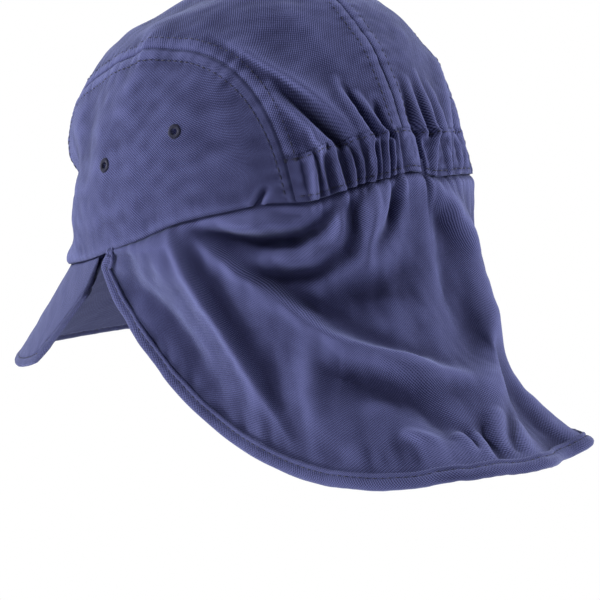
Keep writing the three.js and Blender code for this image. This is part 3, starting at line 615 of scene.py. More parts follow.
    def cloth(self, places):
        """The places of the finished crown, seams and gathers included."""
        out = self.out(places)
        mirrored = places.copy()
        mirrored[:, 0] = np.abs(mirrored[:, 0])
        distance, along = nearest(mirrored, self.side_seam)
        right = places[:, 0] < 0
        along = along + np.where(right, 0.37, 0)
        rise = self.seam_rise(distance, along, self.stitch_offset(places), 21)
        centre, far = nearest(places, self.centre_seam)
        inside = smooth(self.size.seam_at_rim - np.abs(places[:, 0]), 0, 0.03)
        rise = rise + inside * self.seam_rise(centre, far, self.seam.centre_offset, 33)
        above = places[:, 2] - self.casing.height
        back = (places[:, 1] > 0) & (np.abs(places[:, 0]) < self.size.seam_at_rim)
        drawn = np.exp(-np.maximum(above, 0) / (7 * MM)) * smooth(distance, 0, 6 * MM)
        gather = 0.9 * self.casing.rise * self.pleat(places) * drawn
        step = -0.6 * MM * bell(above, 0.8 * MM)
        rise = rise + np.where(back & (above > -1 * MM), gather + step, 0)
        low = (np.abs(places[:, 0]) >= self.size.seam_at_rim) | (places[:, 1] < 0)
        edge = self.rim_rise(places)
        rise = rise + np.where(low, edge, 0)
        return self.worn(places) + out * rise[:, None]

    def rim_rise(self, places):
        """Rise of the panels just above the rim, where the seam's allowance lies inside."""
        up = places[:, 2]
        turned = np.arctan2(places[:, 0], places[:, 1]) * self.size.half_length
        drawn = ripples(turned, 7 * MM, 55, 8) * bell(up - 2 * MM, 6 * MM)
        return -0.5 * MM * bell(up, 1.0 * MM) + 0.04 * MM * drawn

    def casing_cloth(self, places):
        """The places of the finished elastic casing."""
        c = self.casing
        out = self.out(places)
        up = places[:, 2] / c.height
        swell = np.sin(math.pi * mix(0.1, 0.9, up)) ** 0.6
        from_top, from_low = places[:, 2] - c.top_line, places[:, 2] - c.low_line
        pinch = 1 - 0.45 * bell(from_top, 1.1 * MM) - 0.45 * bell(from_low, 1.0 * MM)
        rise = c.rise * self.pleat(places) * swell * pinch
        rise = rise - 0.35 * MM * (bell(from_top, 0.6 * MM) + bell(from_low, 0.6 * MM))
        rise = rise + 0.12 * MM * ripples(places, 3.5 * MM, 91, 14)
        rise = rise - 0.5 * MM * bell(c.height - places[:, 2], 0.8 * MM)
        ends = smooth(self.size.seam_at_rim - np.abs(places[:, 0]), 0, 4 * MM)
        rise = rise * mix(0.3, 1, ends)
        hang = -0.35 * relief(places, out, self.gathers) * (1 - smooth(up, 0, 0.5))
        return self.worn(places) + out * rise[:, None] + hang[:, None] * UP


class Flap:
    """Places on the neck flap, which hangs from the crown's rim to its bound hem."""

    def __init__(self, scene, crown):
        self.size = scene.cap_flap
        self.crown = crown
        self.inside = crown.size.cloth + crown.size.gap
        self.hem_points = self.hem_line()
        self.folds = laid_folds(FLAP_FOLDS, self.plain, self.size.relief)

    def hem_line(self):
        """Many points evenly along the free edge, from the right front corner to the left one."""
        s, c = self.size, self.crown.size
        left = np.array([[row["side"], row["back"], -row["drop"]] for row in HEM])
        left = left * [c.half_width, c.half_length, s.drop]
        right = left * [-1, 1, 1]
        right[:, 1] = np.where(right[:, 1] > 0, right[:, 1] * RIGHT_TRAIL, right[:, 1])
        middle = [[0, HEM_BACK * c.half_length, -s.drop]]
        knots = np.concatenate([right, middle, left[::-1]])
        knots = np.concatenate([[2 * knots[0] - knots[1]], knots, [2 * knots[-1] - knots[-2]]])
        t = np.linspace(0, 1, 60, endpoint=False)[:, None]
        points = []
        for i in range(1, len(knots) - 2):
            a, b, c2, d = knots[i - 1:i + 3]
            run, go = (c2 - a) / 2, (d - b) / 2
            points.append(b + run * t + (3 * (c2 - b) - 2 * run - go) * t**2 + (2 * (b - c2) + run + go) * t**3)
        points = np.concatenate(points + [knots[-2:-1]])
        gone = run_of(points)
        return on_line(np.linspace(0, gone[-1], 1201), gone, points)

    def foot(self, u):
        """Points of the free edge."""
        return on_line(u, np.linspace(0, 1, len(self.hem_points)), self.hem_points)

    def rim(self, u):
        """Points of the plain crown's rim above a share of the flap."""
        return self.crown.at(mix(-self.size.corner, self.size.corner, u), 0.0)

    def top(self, u):
        """Points of the flap on the rim line, just inside the crown."""
        place = self.rim(u)
        out = self.crown.out(place)
        lift = self.crown.rim_lift(place)
        rise = relief(place, out, self.crown.broad)
        return place + out * (rise - self.inside)[:, None] + lift[:, None] * UP

    def plain(self, u, w):
        """Points of the smooth flap: it hangs from the rim, is drawn in at the nape and trails to the hem."""
        u, w = np.broadcast_arrays(np.asarray(u, float), np.asarray(w, float))
        top, foot = self.top(u), self.foot(u)
        out = self.crown.out(self.rim(u))
        far = np.linalg.norm(foot - top, axis=1)[:, None]
        hollow = (self.size.hollow * np.maximum(np.sin(math.pi * u), 0) ** NAPE_ROUNDNESS)[:, None]
        high = top - HANG * far * UP - HOLLOW_HIGH * hollow * out
        low = foot + HANG * (top - foot) - HOLLOW_LOW * hollow * out
        w = w[:, None]
        return (1 - w) ** 3 * top + 3 * w * (1 - w) ** 2 * high + 3 * w**2 * (1 - w) * low + w**3 * foot

    def out(self, u, w):
        """Outward directions of the smooth flap."""
        step = 0.004
        left = self.plain(np.minimum(u + step, 1), w)
        right = self.plain(np.maximum(u - step, 0), w)
        low = self.plain(u, np.minimum(w + step, 1))
        high = self.plain(u, np.maximum(w - step, 0))
        return unit(np.cross(high - low, left - right))

    def folded(self, u, w):
        """Points of the finished flap and its outward directions."""
        place = self.plain(u, w)
        out = self.out(u, w)
        fade = smooth(w, -0.02, 0.1) * mix(1, 0.5, smooth(w, 0.8, 1))
        ends = smooth(np.minimum(u, 1 - u), -0.01, 0.05)
        rise = relief(place, out, self.folds) * fade * ends
        drop = w * self.size.cut_length
        casing = self.crown.size.seam_at_rim
        above = self.rim(u)
        behind = smooth(casing - np.abs(above[:, 0]), -2 * MM, 5 * MM) * (above[:, 1] > 0)
        pleats = relief(above, self.crown.out(above), self.crown.gathers)
        gather = GATHER_RISE * self.crown.pleat(above) + PLEAT_SHARE * pleats
        gather = gather * np.exp(-drop / GATHER_FADE) * behind
        hang = ripples(np.stack([above[:, 0] * 1.5, above[:, 1] * 1.5, w * 0.04], -1), 22 * MM, 15, 16)
        small = 0.45 * MM * hang * smooth(w, 0, 0.15) + 0.12 * MM * ripples(place, 9 * MM, 16, 16)
        shoulder = self.size.shoulder * smooth(drop, 0, 5 * MM) * (1 - smooth(drop, 5 * MM, 30 * MM))
        seam = 0.35 * MM * ripples(above[:, 0] + above[:, 1], 7 * MM, 17, 8) * np.exp(-drop / (6 * MM))
        near_hem = smooth(w, 0.84, 0.92) * (1 - 0.85 * smooth(w, 0.93, 0.99))
        ruffle = 0.35 * MM * ripples(self.foot(u), 9 * MM, 18, 12) * near_hem
        rise = rise + (gather + shoulder + seam) * smooth(w, 0, 0.02) + (small + ruffle) * ends
        return place + out * rise[:, None], out

    def edge(self, u):
        """Points of the free edge with the directions out of the cloth."""
        step = 0.002
        foot, _ = self.folded(u, np.ones_like(u))
        ahead, _ = self.folded(np.minimum(u + step, 1), np.ones_like(u))
        behind, _ = self.folded(np.maximum(u - step, 0), np.ones_like(u))
        along = unit(ahead - behind)
        inner, _ = self.folded(u, np.full_like(u, 0.97))
        return foot, unit(np.cross(square_to(inner - foot, along), along))


class Peak:
    """Places on the peak, a stiff curved board in a cloth cover."""

    def __init__(self, scene, crown):
        self.size = scene.cap_peak
        self.crown = crown

    def middle(self, across, forward):
        """Points of the board's upper face."""
        s, c = self.size, self.crown.size
        turn = mix(-s.spread, s.spread, across)
        root = self.crown.at(math.pi - turn, 0.0)
        out = self.crown.out(root)
        lift = self.crown.rim_lift(root)
        root = root + out * (relief(root, out, self.crown.broad) - c.cloth)[:, None]
        corner = self.crown.at(np.array([math.pi - s.spread]), 0.0)[0]
        swing = mix(-math.pi / 2, math.pi / 2, mix(0.02, 0.98, across))
        power = 2 / s.squareness
        edge_x = corner[0] * np.sign(swing) * np.abs(np.sin(swing)) ** power
        edge_y = corner[1] - (c.half_length + s.reach + corner[1]) * np.cos(swing) ** power
        x = mix(root[:, 0], edge_x, forward)
        y = mix(root[:, 1], np.minimum(edge_y, root[:, 1] - 2 * MM), forward)
        run = root[:, 1] - y
        aside = np.abs(x / c.half_width)
        droop = DROOP_SHARE * s.droop * run / s.reach * np.minimum(aside, DROOP_END) ** DROOP_POWER
        droop = droop + s.curl * forward**2 * bell(aside - CURL_AT, CURL_WIDE)
        return np.stack([x, y, lift - c.gap - run * math.tan(s.slope) - droop], -1)

    def out(self, across, forward):
        """Upward directions of the board."""
        step = 0.01
        left, right = (self.middle(np.clip(across + k, 0, 1), forward) for k in (step, -step))
        front, rear = (self.middle(across, np.clip(forward + k, 0, 1)) for k in (step, -step))
        return unit(np.cross(front - rear, left - right))

    def cover(self, across, forward, side):
        """Points of the cover on the upper side, 1, or the lower side, -1, with its outward directions."""
        s = self.size
        top = self.middle(across, forward)
        out = self.out(across, forward)
        edge = self.middle(across, np.ones_like(forward))
        inset = np.linalg.norm(edge - top, axis=1)
        half = s.thickness / 2
        groove = -0.5 * MM * bell(inset - s.line, 0.7 * MM)
        swell = 0.25 * MM * bell(inset - s.line / 2, 1.3 * MM)
        along = ripples(edge, 6 * MM, 61, 10) * bell(inset - s.line, 5 * MM)
        cloth = 0.12 * MM * ripples(top, 18 * MM, 62, 12)
        round_edge = half * np.sqrt(np.clip(1 - (1 - np.clip(inset / half, 0, 1)) ** 2, 0, 1))
        rise = round_edge + groove + swell + 0.15 * MM * along + cloth
        rise = np.where(inset < 0.2 * MM, 0, rise)
        return top - out * half + out * (side * rise)[:, None], out * np.reshape(side, (-1, 1))


def object_from(name, bm):
    """A new object from a bmesh, linked to the scene."""
    mesh = bpy.data.meshes.new(name)
    bm.to_mesh(mesh)
    bm.free()
    piece = bpy.data.objects.new(name, mesh)
    bpy.context.scene.collection.objects.link(piece)
    return piece


def grid_bmesh(steps):
    """A flat grid of steps faces, one unit wide, whose vertices are placed by share afterwards."""
    bm = bmesh.new()
    bmesh.ops.create_grid(bm, x_segments=steps[0], y_segments=steps[1], size=0.5)
    return bm


def place_vertices(bm, surface):
    """Moves a grid's vertices to the surface's points at their shares and returns those shares."""
    shares = np.clip(np.array([v.co[:2] for v in bm.verts]) + 0.5, 0, 1)
    points, outs = surface(shares[:, 0], shares[:, 1])
    for vert, point in zip(bm.verts, points):
        vert.co = point
    bm.normal_update()
    normals = np.array([v.normal[:] for v in bm.verts])
    if (normals * outs).sum() < 0:
        bmesh.ops.reverse_faces(bm, faces=bm.faces[:])
    return shares


def lay_cloth(bm, uv_at, wear_and_shade_at):
    """Writes the cloth's own flat coordinates in metres as a UV map, and per vertex its wear and painted shade,
    -1 to 1: lighter for rubbed wear and painted highlights, darker for painted shade.
    """
    layer = bm.loops.layers.uv.new("cloth")
    wear_and_shade_layer = bm.verts.layers.float.new("wear_and_shade")
    bm.verts.index_update()
    for face in bm.faces:
        for loop in face.loops:
            loop[layer].uv = uv_at[loop.vert.index]
    for vert in bm.verts:
        vert[wear_and_shade_layer] = float(wear_and_shade_at[vert.index])


def close_shell(bm):
    """Joins what touches, closes the open ends and turns the faces outward."""
    bmesh.ops.remove_doubles(bm, verts=bm.verts[:], dist=TINY)
    bmesh.ops.holes_fill(bm, edges=[e for e in bm.edges if e.is_boundary], sides=0)
    bmesh.ops.recalc_face_normals(bm, faces=bm.faces[:])


def finish_piece(piece, nodes, material):
    """Gives a piece its material and ties it to the frame."""
    piece.data.materials.append(cloth_for(material))
    for polygon in piece.data.polygons:
        polygon.use_smooth = True
    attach(piece, "root")
    if nodes:
        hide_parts(*nodes)
    return piece


def thicken(piece, thickness, offset):
    """Turns a sheet into a closed wall."""
    solid = piece.modifiers.new("wall", "SOLIDIFY")
    solid.thickness = thickness
    solid.offset = offset
    solid.use_rim = True
    return piece


def standing(bm, steps, around, full):
    """How far each vertex of a grid stands out of the cloth around it, from -1 in a valley to 1 on a crest."""
    bm.normal_update()
    places = np.array([v.co[:] for v in bm.verts]).reshape(steps[1] + 1, steps[0] + 1, 3)
    outs = np.array([v.normal[:] for v in bm.verts])
    level = places
    for axis in (0, 1):
        apart = np.linalg.norm(np.diff(places, axis=axis), axis=-1).mean()
        k = int(np.clip(round(around / apart), 1, places.shape[axis] // 3))
        for _ in range(2):
            margins = [(k, k) if a == axis else (0, 0) for a in range(3)]
            wide = np.pad(level, margins, "reflect", reflect_type="odd")
            shifted = (np.take(wide, range(i, i + places.shape[axis]), axis) for i in range(2 * k + 1))
            level = sum(shifted) / (2 * k + 1)
    rise = ((places - level).reshape(-1, 3) * outs).sum(1)
    return np.clip((rise - np.median(rise)) / full, -1, 1)


def add_node(tree, kind, inputs=(), **settings):
    """A new shader node with its settings, and its inputs from values or from other nodes' outputs."""
    node = tree.nodes.new(kind)
    for name, value in settings.items():
        setattr(node, name, value)
    for key, value in (inputs.items() if isinstance(inputs, dict) else enumerate(inputs)):
        if isinstance(value, bpy.types.NodeSocket):
            tree.links.new(value, node.inputs[key])
        elif value is not None:
            node.inputs[key].default_value = value
    return node


def shade(rgb, factor=1.0):
    """A colour with its alpha, made lighter or darker."""
    return (*[min(1.0, c * factor) for c in rgb], 1.0)


def new_material(name):
    """An empty material, its node tree, and a maker of noise for it."""
    material = bpy.data.materials.new(name)
    material.use_nodes = True
    tree = material.node_tree
    tree.nodes.clear()

    def noise(at, scale, detail=2.0):
        inputs = {"Vector": at, "Scale": scale, "Detail": detail}
        return add_node(tree, "ShaderNodeTexNoise", inputs).outputs["Fac"]

    return material, tree, noise


def ramp_of(tree, amount, stops):
    """Colours along a ramp: the first and the last stop, then those between them."""
    ramp = add_node(tree, "ShaderNodeValToRGB", (amount,))
    ends = ramp.color_ramp.elements
    for place, rgb in stops[2:]:
        ends.new(place).color = rgb
    for element, (place, rgb) in zip((ends[0], ends[len(ends) - 1]), stops):
        element.position = place
        element.color = rgb
    return ramp.outputs[0]


def twill_material(name, cloth, tone, lean):
    """Cotton twill: diagonal ribs, uneven dye, rubbed edges with painted highlights, painted shade in valleys and
    a soft sheen.
    """
    material, tree, noise = new_material(name)

    def math_node(operation, *values):
        return add_node(tree, "ShaderNodeMath", values, operation=operation).outputs[0]

    flat = add_node(tree, "ShaderNodeUVMap", uv_map="cloth").outputs[0]
    wobble = noise(flat, 260.0, 1.0)
    parts = add_node(tree, "ShaderNodeSeparateXYZ", (flat,))
    across, along = parts.outputs[0], parts.outputs[1]
    turn_x, turn_y = math.cos(lean) / cloth.twill, math.sin(lean) / cloth.twill
    rib = math_node("ADD", math_node("MULTIPLY", across, turn_x), math_node("MULTIPLY", along, turn_y))
    rib = math_node("ADD", rib, math_node("MULTIPLY", wobble, 0.7))
    ribs = math_node("SINE", math_node("MULTIPLY", rib, 2 * math.pi))
    weft_x, weft_y = turn_x * 0.8, turn_y * 0.8
    weft = math_node("SUBTRACT", math_node("MULTIPLY", along, weft_x), math_node("MULTIPLY", across, weft_y))
    wefts = math_node("SINE", math_node("MULTIPLY", weft, 2 * math.pi))
    drawn_out = add_node(tree, "ShaderNodeVectorMath", (flat, (1.0, 0.12, 1.0)), operation="MULTIPLY")
    streak_at = drawn_out.outputs[0]
    body = add_node(tree, "ShaderNodeTexCoord").outputs["Object"]
    lint, streak, dye = (math_node("SUBTRACT", noise(at, scale, detail), 0.5) for at, scale, detail in (
        (flat, 2100.0, 2.0), (streak_at, 900.0, 2.0), (body, 26.0, 3.0)))
    # the vertex tone read here is partly painted light: crests and rubbed edges lighter for wear and a painted
    # highlight, valleys, the flap under the rim and the peak's underside darker as painted shade
    tone_shift = add_node(tree, "ShaderNodeAttribute", attribute_name="wear_and_shade").outputs["Fac"]

    amount = TWILL_MIDDLE
    parts = {"ribs": ribs, "wefts": wefts, "lint": lint, "streak": streak, "dye": dye, "tone_shift": tone_shift}
    for part, strength in TWILL_SHARE.items():
        amount = math_node("MULTIPLY_ADD", parts[part], strength, amount)
    tones = [(0.05, cloth.dark), (0.95, cloth.light), (0.48, cloth.mid)]
    colours = ramp_of(tree, amount, [(place, shade(rgb, tone)) for place, rgb in tones])

    height = math_node("MULTIPLY_ADD", ribs, 0.5, math_node("MULTIPLY", wefts, 0.16))
    height = math_node("MULTIPLY_ADD", lint, 1.6, height)
    bump = add_node(tree, "ShaderNodeBump", {"Strength": 0.55, "Distance": 0.00009, "Height": height})
    soft = add_node(tree, "ShaderNodeBump", {
        "Strength": 0.5, "Distance": 0.0006, "Height": noise(body, 150.0), "Normal": bump.outputs[0]})
    surface = add_node(tree, "ShaderNodeBsdfPrincipled", {
        "Base Color": colours, "Roughness": 0.82, "Normal": soft.outputs[0],
        "Sheen Weight": 0.34, "Sheen Roughness": 0.38, "Sheen Tint": shade(cloth.sheen),
        "Specular IOR Level": 0.12})
    add_node(tree, "ShaderNodeOutputMaterial", (surface.outputs[0],))
    return material


def thread_material(name, cloth):
    """Twisted cotton thread."""
    material, tree, noise = new_material(name)
    fuzz = noise(add_node(tree, "ShaderNodeTexCoord").outputs["Object"], 2400.0)
    colours = ramp_of(tree, fuzz, [(0.3, shade(cloth.thread, 0.7)), (0.75, shade(cloth.thread, 2.2))])
    bump = add_node(tree, "ShaderNodeBump", {"Strength": 0.6, "Distance": 0.00008, "Height": fuzz})
    surface = add_node(tree, "ShaderNodeBsdfPrincipled", {
        "Base Color": colours, "Roughness": 0.7, "Normal": bump.outputs[0],
        "Sheen Weight": 0.15, "Specular IOR Level": 0.3})
    add_node(tree, "ShaderNodeOutputMaterial", (surface.outputs[0],))
    return material


def cloth_for(name):
    """The material of that name, made on first use."""
    known = bpy.data.materials.get(name)
    if known:
        return known
    cloth = bpy.context.scene.cap_cloth
    if name in TWILLS:
        tone, lean = TWILLS[name]
        return twill_material(name, cloth, tone, math.radians(lean))
    return thread_material(name, cloth)


def panel_piece(name, node, kind, crown, places, finish, flip=False, holes=()):
    """A cloth panel of the crown from a grid of places on the plain crown."""
    steps = STEPS[kind]

    def surface(a, b):
        plain = places(a, b)
        if flip:
            plain = plain * [-1, 1, 1]
        return finish(plain), crown.out(plain)

    bm = grid_bmesh(steps)
    shares = place_vertices(bm, surface)
    # painted shade and highlight: crests lighter for rubbed wear and a painted highlight, valleys darker as
    # painted shade
    lay_cloth(bm, shares * WEAVE[kind], standing(bm, steps, CREST_AROUND["panel"], CREST_FULL["panel"]))
    for centre, radius in holes:
        inside = [f for f in bm.faces if (f.calc_center_median() - centre).length < radius]
        bmesh.ops.delete(bm, geom=inside, context="FACES")
    piece = object_from(name, bm)
    thicken(piece, crown.size.cloth, -1)
    return finish_piece(piece, [node], "crown_twill")


def posed(place, x, y, z):
    """Matrix that moves a shape to a place and turns its axes to x, y and z."""
    return Matrix.Translation(place) @ Matrix((x, y, z)).transposed().to_4x4()


def stitch_run(bm, points, outs, seam, lift):
    """Adds a line of stitches along points, each a small rounded thread lying on the cloth."""
    gone = run_of(points)
    count = int(gone[-1] / seam.pitch)
    middles = (np.arange(count) + 0.5) * gone[-1] / count
    behind, at, ahead = (on_line(middles + k * seam.stitch / 2, gone, points) for k in (-1, 0, 1))
    along = unit(ahead - behind)
    up = square_to(unit(on_line(middles, gone, outs)), along)
    size = Matrix.Diagonal((seam.stitch / 2, seam.thread / 2, seam.thread / 2, 1))
    for centre, x, y, z in zip(at + up * lift, along, np.cross(up, along), up):
        bmesh.ops.create_icosphere(bm, subdivisions=1, radius=1, matrix=posed(centre, x, y, z) @ size)


class CAP_OT_crown(bpy.types.Operator):
    """Builds the four panels of the crown"""

    bl_idname = "cap.crown"
    bl_label = "Crown panels"

    def execute(self, context):
        crown = Crown(context.scene)
        s = crown.size
        start = 0.05
        hole = 1.9 * MM
        corner = math.asin((s.seam_at_rim - LAP) / s.half_width)

        def side_places(a, b):
            low = crown.at(mix(corner, math.pi - corner, a), 0.0)
            turn = mix(start, math.pi - start, a)
            high = crown.arch(crown.seam_across(turn) - LAP, turn)
            return crown.onto(mix(low, high, b[:, None]))

        base = crown.casing.height - LAP
        reach = (1 - (base / s.height) ** s.squareness) ** (1 / s.squareness)

        def centre_places(a, b):
            near = mix(-LAP, s.seam_at_rim + LAP, b)
            depth = s.half_length * np.sqrt(reach**2 - (near / s.half_width) ** 2)
            turn = mix(np.arctan2(base, depth), math.pi, a)
            return crown.arch(mix(-LAP, crown.seam_across(turn) + LAP, b), turn)

        for side, flip in (("left", False), ("right", True)):
            holes = []
            for row in EYELETS:
                plain = crown.at_degrees(np.array([row["at"]]), np.array([row["up"]]))
                if flip:
                    plain = plain * [-1, 1, 1]
                holes.append((Vector(crown.cloth(plain)[0]), hole))
            panel_piece(
                f"side_{side}", f"side_panel_{side}", "side", crown, side_places, crown.cloth, flip, holes)
            panel_piece(
                f"centre_{side}", f"centre_panel_{side}", "centre", crown, centre_places, crown.cloth, flip)
        return {"FINISHED"}


class CAP_OT_casing(bpy.types.Operator):
    """Builds the gathered elastic casing across the back"""

    bl_idname = "cap.casing"
    bl_label = "Elastic casing"

    def execute(self, context):
        crown = Crown(context.scene)
        s, c = crown.size, crown.casing

        def places(a, b):
            height = b * c.height
            reach = crown.at(math.pi / 2, height)[:, 0]
            end = np.arcsin((s.seam_at_rim + LAP) / reach)
            return crown.at(mix(-end, end, a), height)

        panel_piece("casing", "elastic_casing", "casing", crown, places, crown.casing_cloth)
        return {"FINISHED"}


class CAP_OT_flap(bpy.types.Operator):
    """Builds the neck flap and the binding round its free edge"""

    bl_idname = "cap.flap"
    bl_label = "Neck flap and binding"

    def execute(self, context):
        crown = Crown(context.scene)
        flap = Flap(context.scene, crown)
        s = flap.size
        tuck_rows = 0.04

        def surface(u, down):
            w = np.clip((down - tuck_rows) / (1 - tuck_rows), 0, 1)
            points, outs = flap.folded(u, w)
            above = np.clip(1 - down / tuck_rows, 0, 1)
            points = points + (above * s.tuck)[:, None] * UP
            points = points - outs * (s.cloth / 2 * (1 - smooth(w, 0, 0.02)))[:, None]
            return points, outs

        bm = grid_bmesh(STEPS["flap"])
        shares = place_vertices(bm, surface)
        # painted shade and highlight: crests lighter for rubbed wear and a painted highlight, valleys darker as
        # painted shade
        wear_and_shade = standing(bm, STEPS["flap"], CREST_AROUND["flap"], CREST_FULL["flap"])
        under = (shares[:, 1] - tuck_rows) * s.cut_length
        # painted shadow: the flap is darkened in a band a few millimetres deep just under the crown's rim
        wear_and_shade = np.clip(wear_and_shade - 0.9 * (1 - smooth(under, 0.5 * MM, 3.5 * MM)), -1, 1)
        across = (shares[:, 0] - 0.5) * mix(s.cut_width, s.hem_spread, shares[:, 1])
        lay_cloth(bm, np.stack([across, shares[:, 1] * s.cut_length], -1), wear_and_shade)
        cloth = object_from("flap", bm)
        thicken(cloth, s.cloth, 0)
        finish_piece(cloth, ["neck_flap"], "flap_twill")

        self.binding(context, flap)
        return {"FINISHED"}

    def binding(self, context, flap):
        """The folded binding and its stitches."""
        s, b, seam = flap.size, context.scene.cap_binding, context.scene.cap_seam
        slot = s.cloth / 2 + flap.crown.size.gap
        skin = slot + b.cloth
        outer = b.grip - b.width
        groove = b.grip - b.line
        face = [
            (b.grip, slot), (b.grip + 0.25 * MM, mix(slot, skin, 0.7)), (b.grip, skin + 0.25 * MM),
            (b.grip - 0.7 * MM, skin + 0.35 * MM), (groove + 0.5 * MM, skin + 0.1 * MM),
            (groove, skin - 0.45 * MM),
            (groove - 0.6 * MM, skin + 0.02 * MM), (mix(groove, outer, 0.45), skin + 0.2 * MM),
            (mix(groove, outer, 0.75), skin), (outer + 0.3 * MM, skin - 0.55 * MM), (outer, 0.3 * MM),
        ]
        floor = -flap.crown.size.gap
        section = [*face, *[(i, -h) for i, h in face[::-1]], (floor, -slot), (floor, slot)]
        count = len(section)
        u = np.linspace(0, 1, 421)
        foot, out = flap.edge(u)
        down = np.linspace(0, 1, 12, endpoint=False)
        right, right_out = flap.folded(np.zeros_like(down), down)
        left, left_out = flap.folded(np.ones_like(down), down)
        foot = np.concatenate([right, foot, left[::-1]])
        out = np.concatenate([right_out, out, left_out[::-1]])
        along = unit(averaged(np.gradient(foot, axis=0), 3))
        out = square_to(averaged(out, 8), along)
        inward = np.cross(along, out)
        round_steps = len(foot) - 1
        gone = run_of(foot)

        def ring_point(k):
            step_in, step_out = section[k % count]
            wide = 1 + 0.03 * ripples(gone, 30 * MM, 71, 8)
            swell = 0.07 * MM * ripples(gone, 7 * MM, 72 + (step_out > 0), 8) * (abs(step_out) > slot)
            near_line = abs(step_in - groove) < 0.8 * MM
            drawn = 0.12 * MM * np.cos(2 * math.pi * gone / seam.pitch) * near_line
            h = step_out + np.sign(step_out) * (swell - drawn)
            return foot + inward * (step_in * wide)[:, None] + out * h[:, None]

        bm = bmesh.new()
        bmesh.ops.create_grid(bm, x_segments=round_steps, y_segments=count, size=0.5)
        shares = np.clip(np.array([v.co[:2] for v in bm.verts]) + 0.5, 0, 1)
        rings = np.stack([ring_point(k) for k in range(count)])
        column = np.rint(shares[:, 0] * round_steps).astype(int)
        row = np.rint(shares[:, 1] * count).astype(int) % count
        for vert, c, r in zip(bm.verts, column, row):
            vert.co = rings[r, c]
        tone_shift = np.array([0.45 if abs(h) > skin - 0.6 * MM or i < outer + 0.5 * MM else 0 for i, h in section])
        lay_cloth(bm, np.stack([gone[column], shares[:, 1] * BINDING_WEAVE], -1), tone_shift[row])
        close_shell(bm)
        binding = finish_piece(object_from("binding", bm), ["hem_binding"], "binding_twill")

        bm = bmesh.new()
        for sign in (1, -1):
            points = foot + inward * groove + out * (sign * (skin - 0.38 * MM))
            stitch_run(bm, points[9:-9], out[9:-9] * sign, seam, 0.05 * MM)
        line = finish_piece(object_from("binding_stitches", bm), [], "sewing_thread")
        return [binding, line]


class CAP_OT_peak(bpy.types.Operator):
    """Builds the covered peak"""

    bl_idname = "cap.peak"
    bl_label = "Peak"

    def execute(self, context):
        crown = Crown(context.scene)
        peak = Peak(context.scene, crown)
        seam = context.scene.cap_seam

        def ease(b):
            """Share of the way forward, closer together at the free edge."""
            return 1 - (1 - b) ** 1.8

        def surface(a, b):
            above = b <= 0.5
            forward = np.where(above, ease(np.clip(2 * b, 0, 1)), ease(np.clip(2 - 2 * b, 0, 1)))
            return peak.cover(a, forward, np.where(above, 1, -1))

        bm = grid_bmesh(STEPS["peak"])
        shares = place_vertices(bm, surface)
        # the free edge is lighter for rubbed wear; the whole underside is darker as painted shade
        wear_and_shade = 0.5 * bell(shares[:, 1] - 0.5, 0.03) - 0.9 * smooth(shares[:, 1], 0.53, 0.56)
        lay_cloth(bm, (shares - [0.5, 0]) * WEAVE["peak"], wear_and_shade)
        close_shell(bm)
        finish_piece(object_from("peak_cover", bm), ["peak"], "peak_twill")

        bm = bmesh.new()
        a = np.linspace(0.03, 0.97, 400)
        edge = peak.middle(a, np.ones_like(a))
        root = peak.middle(a, np.zeros_like(a))
        forward = 1 - peak.size.line / np.maximum(np.linalg.norm(edge - root, axis=1), 2 * peak.size.line)
        for side in (1, -1):
            points, outs = peak.cover(a, forward, np.full_like(a, side))
            stitch_run(bm, points, outs, seam, 0.1 * MM)
        finish_piece(object_from("peak_stitches", bm), [], "sewing_thread")
        return {"FINISHED"}


class CAP_OT_stitching(bpy.types.Operator):
    """Sews the seams of the crown and the casing"""

    bl_idname = "cap.stitching"
    bl_label = "Stitching"

    def execute(self, context):
        crown = Crown(context.scene)
        s, seam, c = crown.size, crown.seam, crown.casing
        bm = bmesh.new()

        def sew(plain, finish=crown.cloth):
            stitch_run(bm, finish(plain), crown.out(plain), seam, 0.08 * MM)

        turns = np.linspace(0.03, math.pi - 0.03, 400)
        for sign in (1, -1):
            for way in (1, -1):
                line = crown.arch(crown.seam_across(turns), turns)
                along = unit(np.gradient(line, axis=0))
                sideways = unit(np.cross(along, crown.out(line)))
                if (sideways[200, 0] > 0) != (way > 0):
                    sideways = -sideways
                moved = crown.onto(line + sideways * crown.stitch_offset(line)[:, None])
                keep = (moved[:, 2] > 1 * MM) & ((way > 0) | (moved[:, 2] > c.height) | (moved[:, 1] < 0))
                sew(moved[keep] * [sign, 1, 1])
        base = math.atan2(c.height, s.half_length)
        turns = np.linspace(base + 0.02, math.pi - 0.02, 400)
        for sign in (1, -1):
            sew(crown.arch(sign * seam.centre_offset, turns))
        for sign in (1, -1):
            for up in BARS["up"]:
                at = np.linspace(BARS["from"], BARS["to"], 12)
                sew(crown.at_degrees(at, np.full_like(at, up)) * [sign, 1, 1])
        for height in (c.top_line, c.low_line):
            reach = crown.at(math.pi / 2, np.array([height]))[0, 0]
            end = math.asin((s.seam_at_rim - 1 * MM) / reach)
            sew(crown.at(np.linspace(-end, end, 300), height), crown.casing_cloth)
        finish_piece(object_from("crown_stitches", bm), [], "sewing_thread")
        return {"FINISHED"}


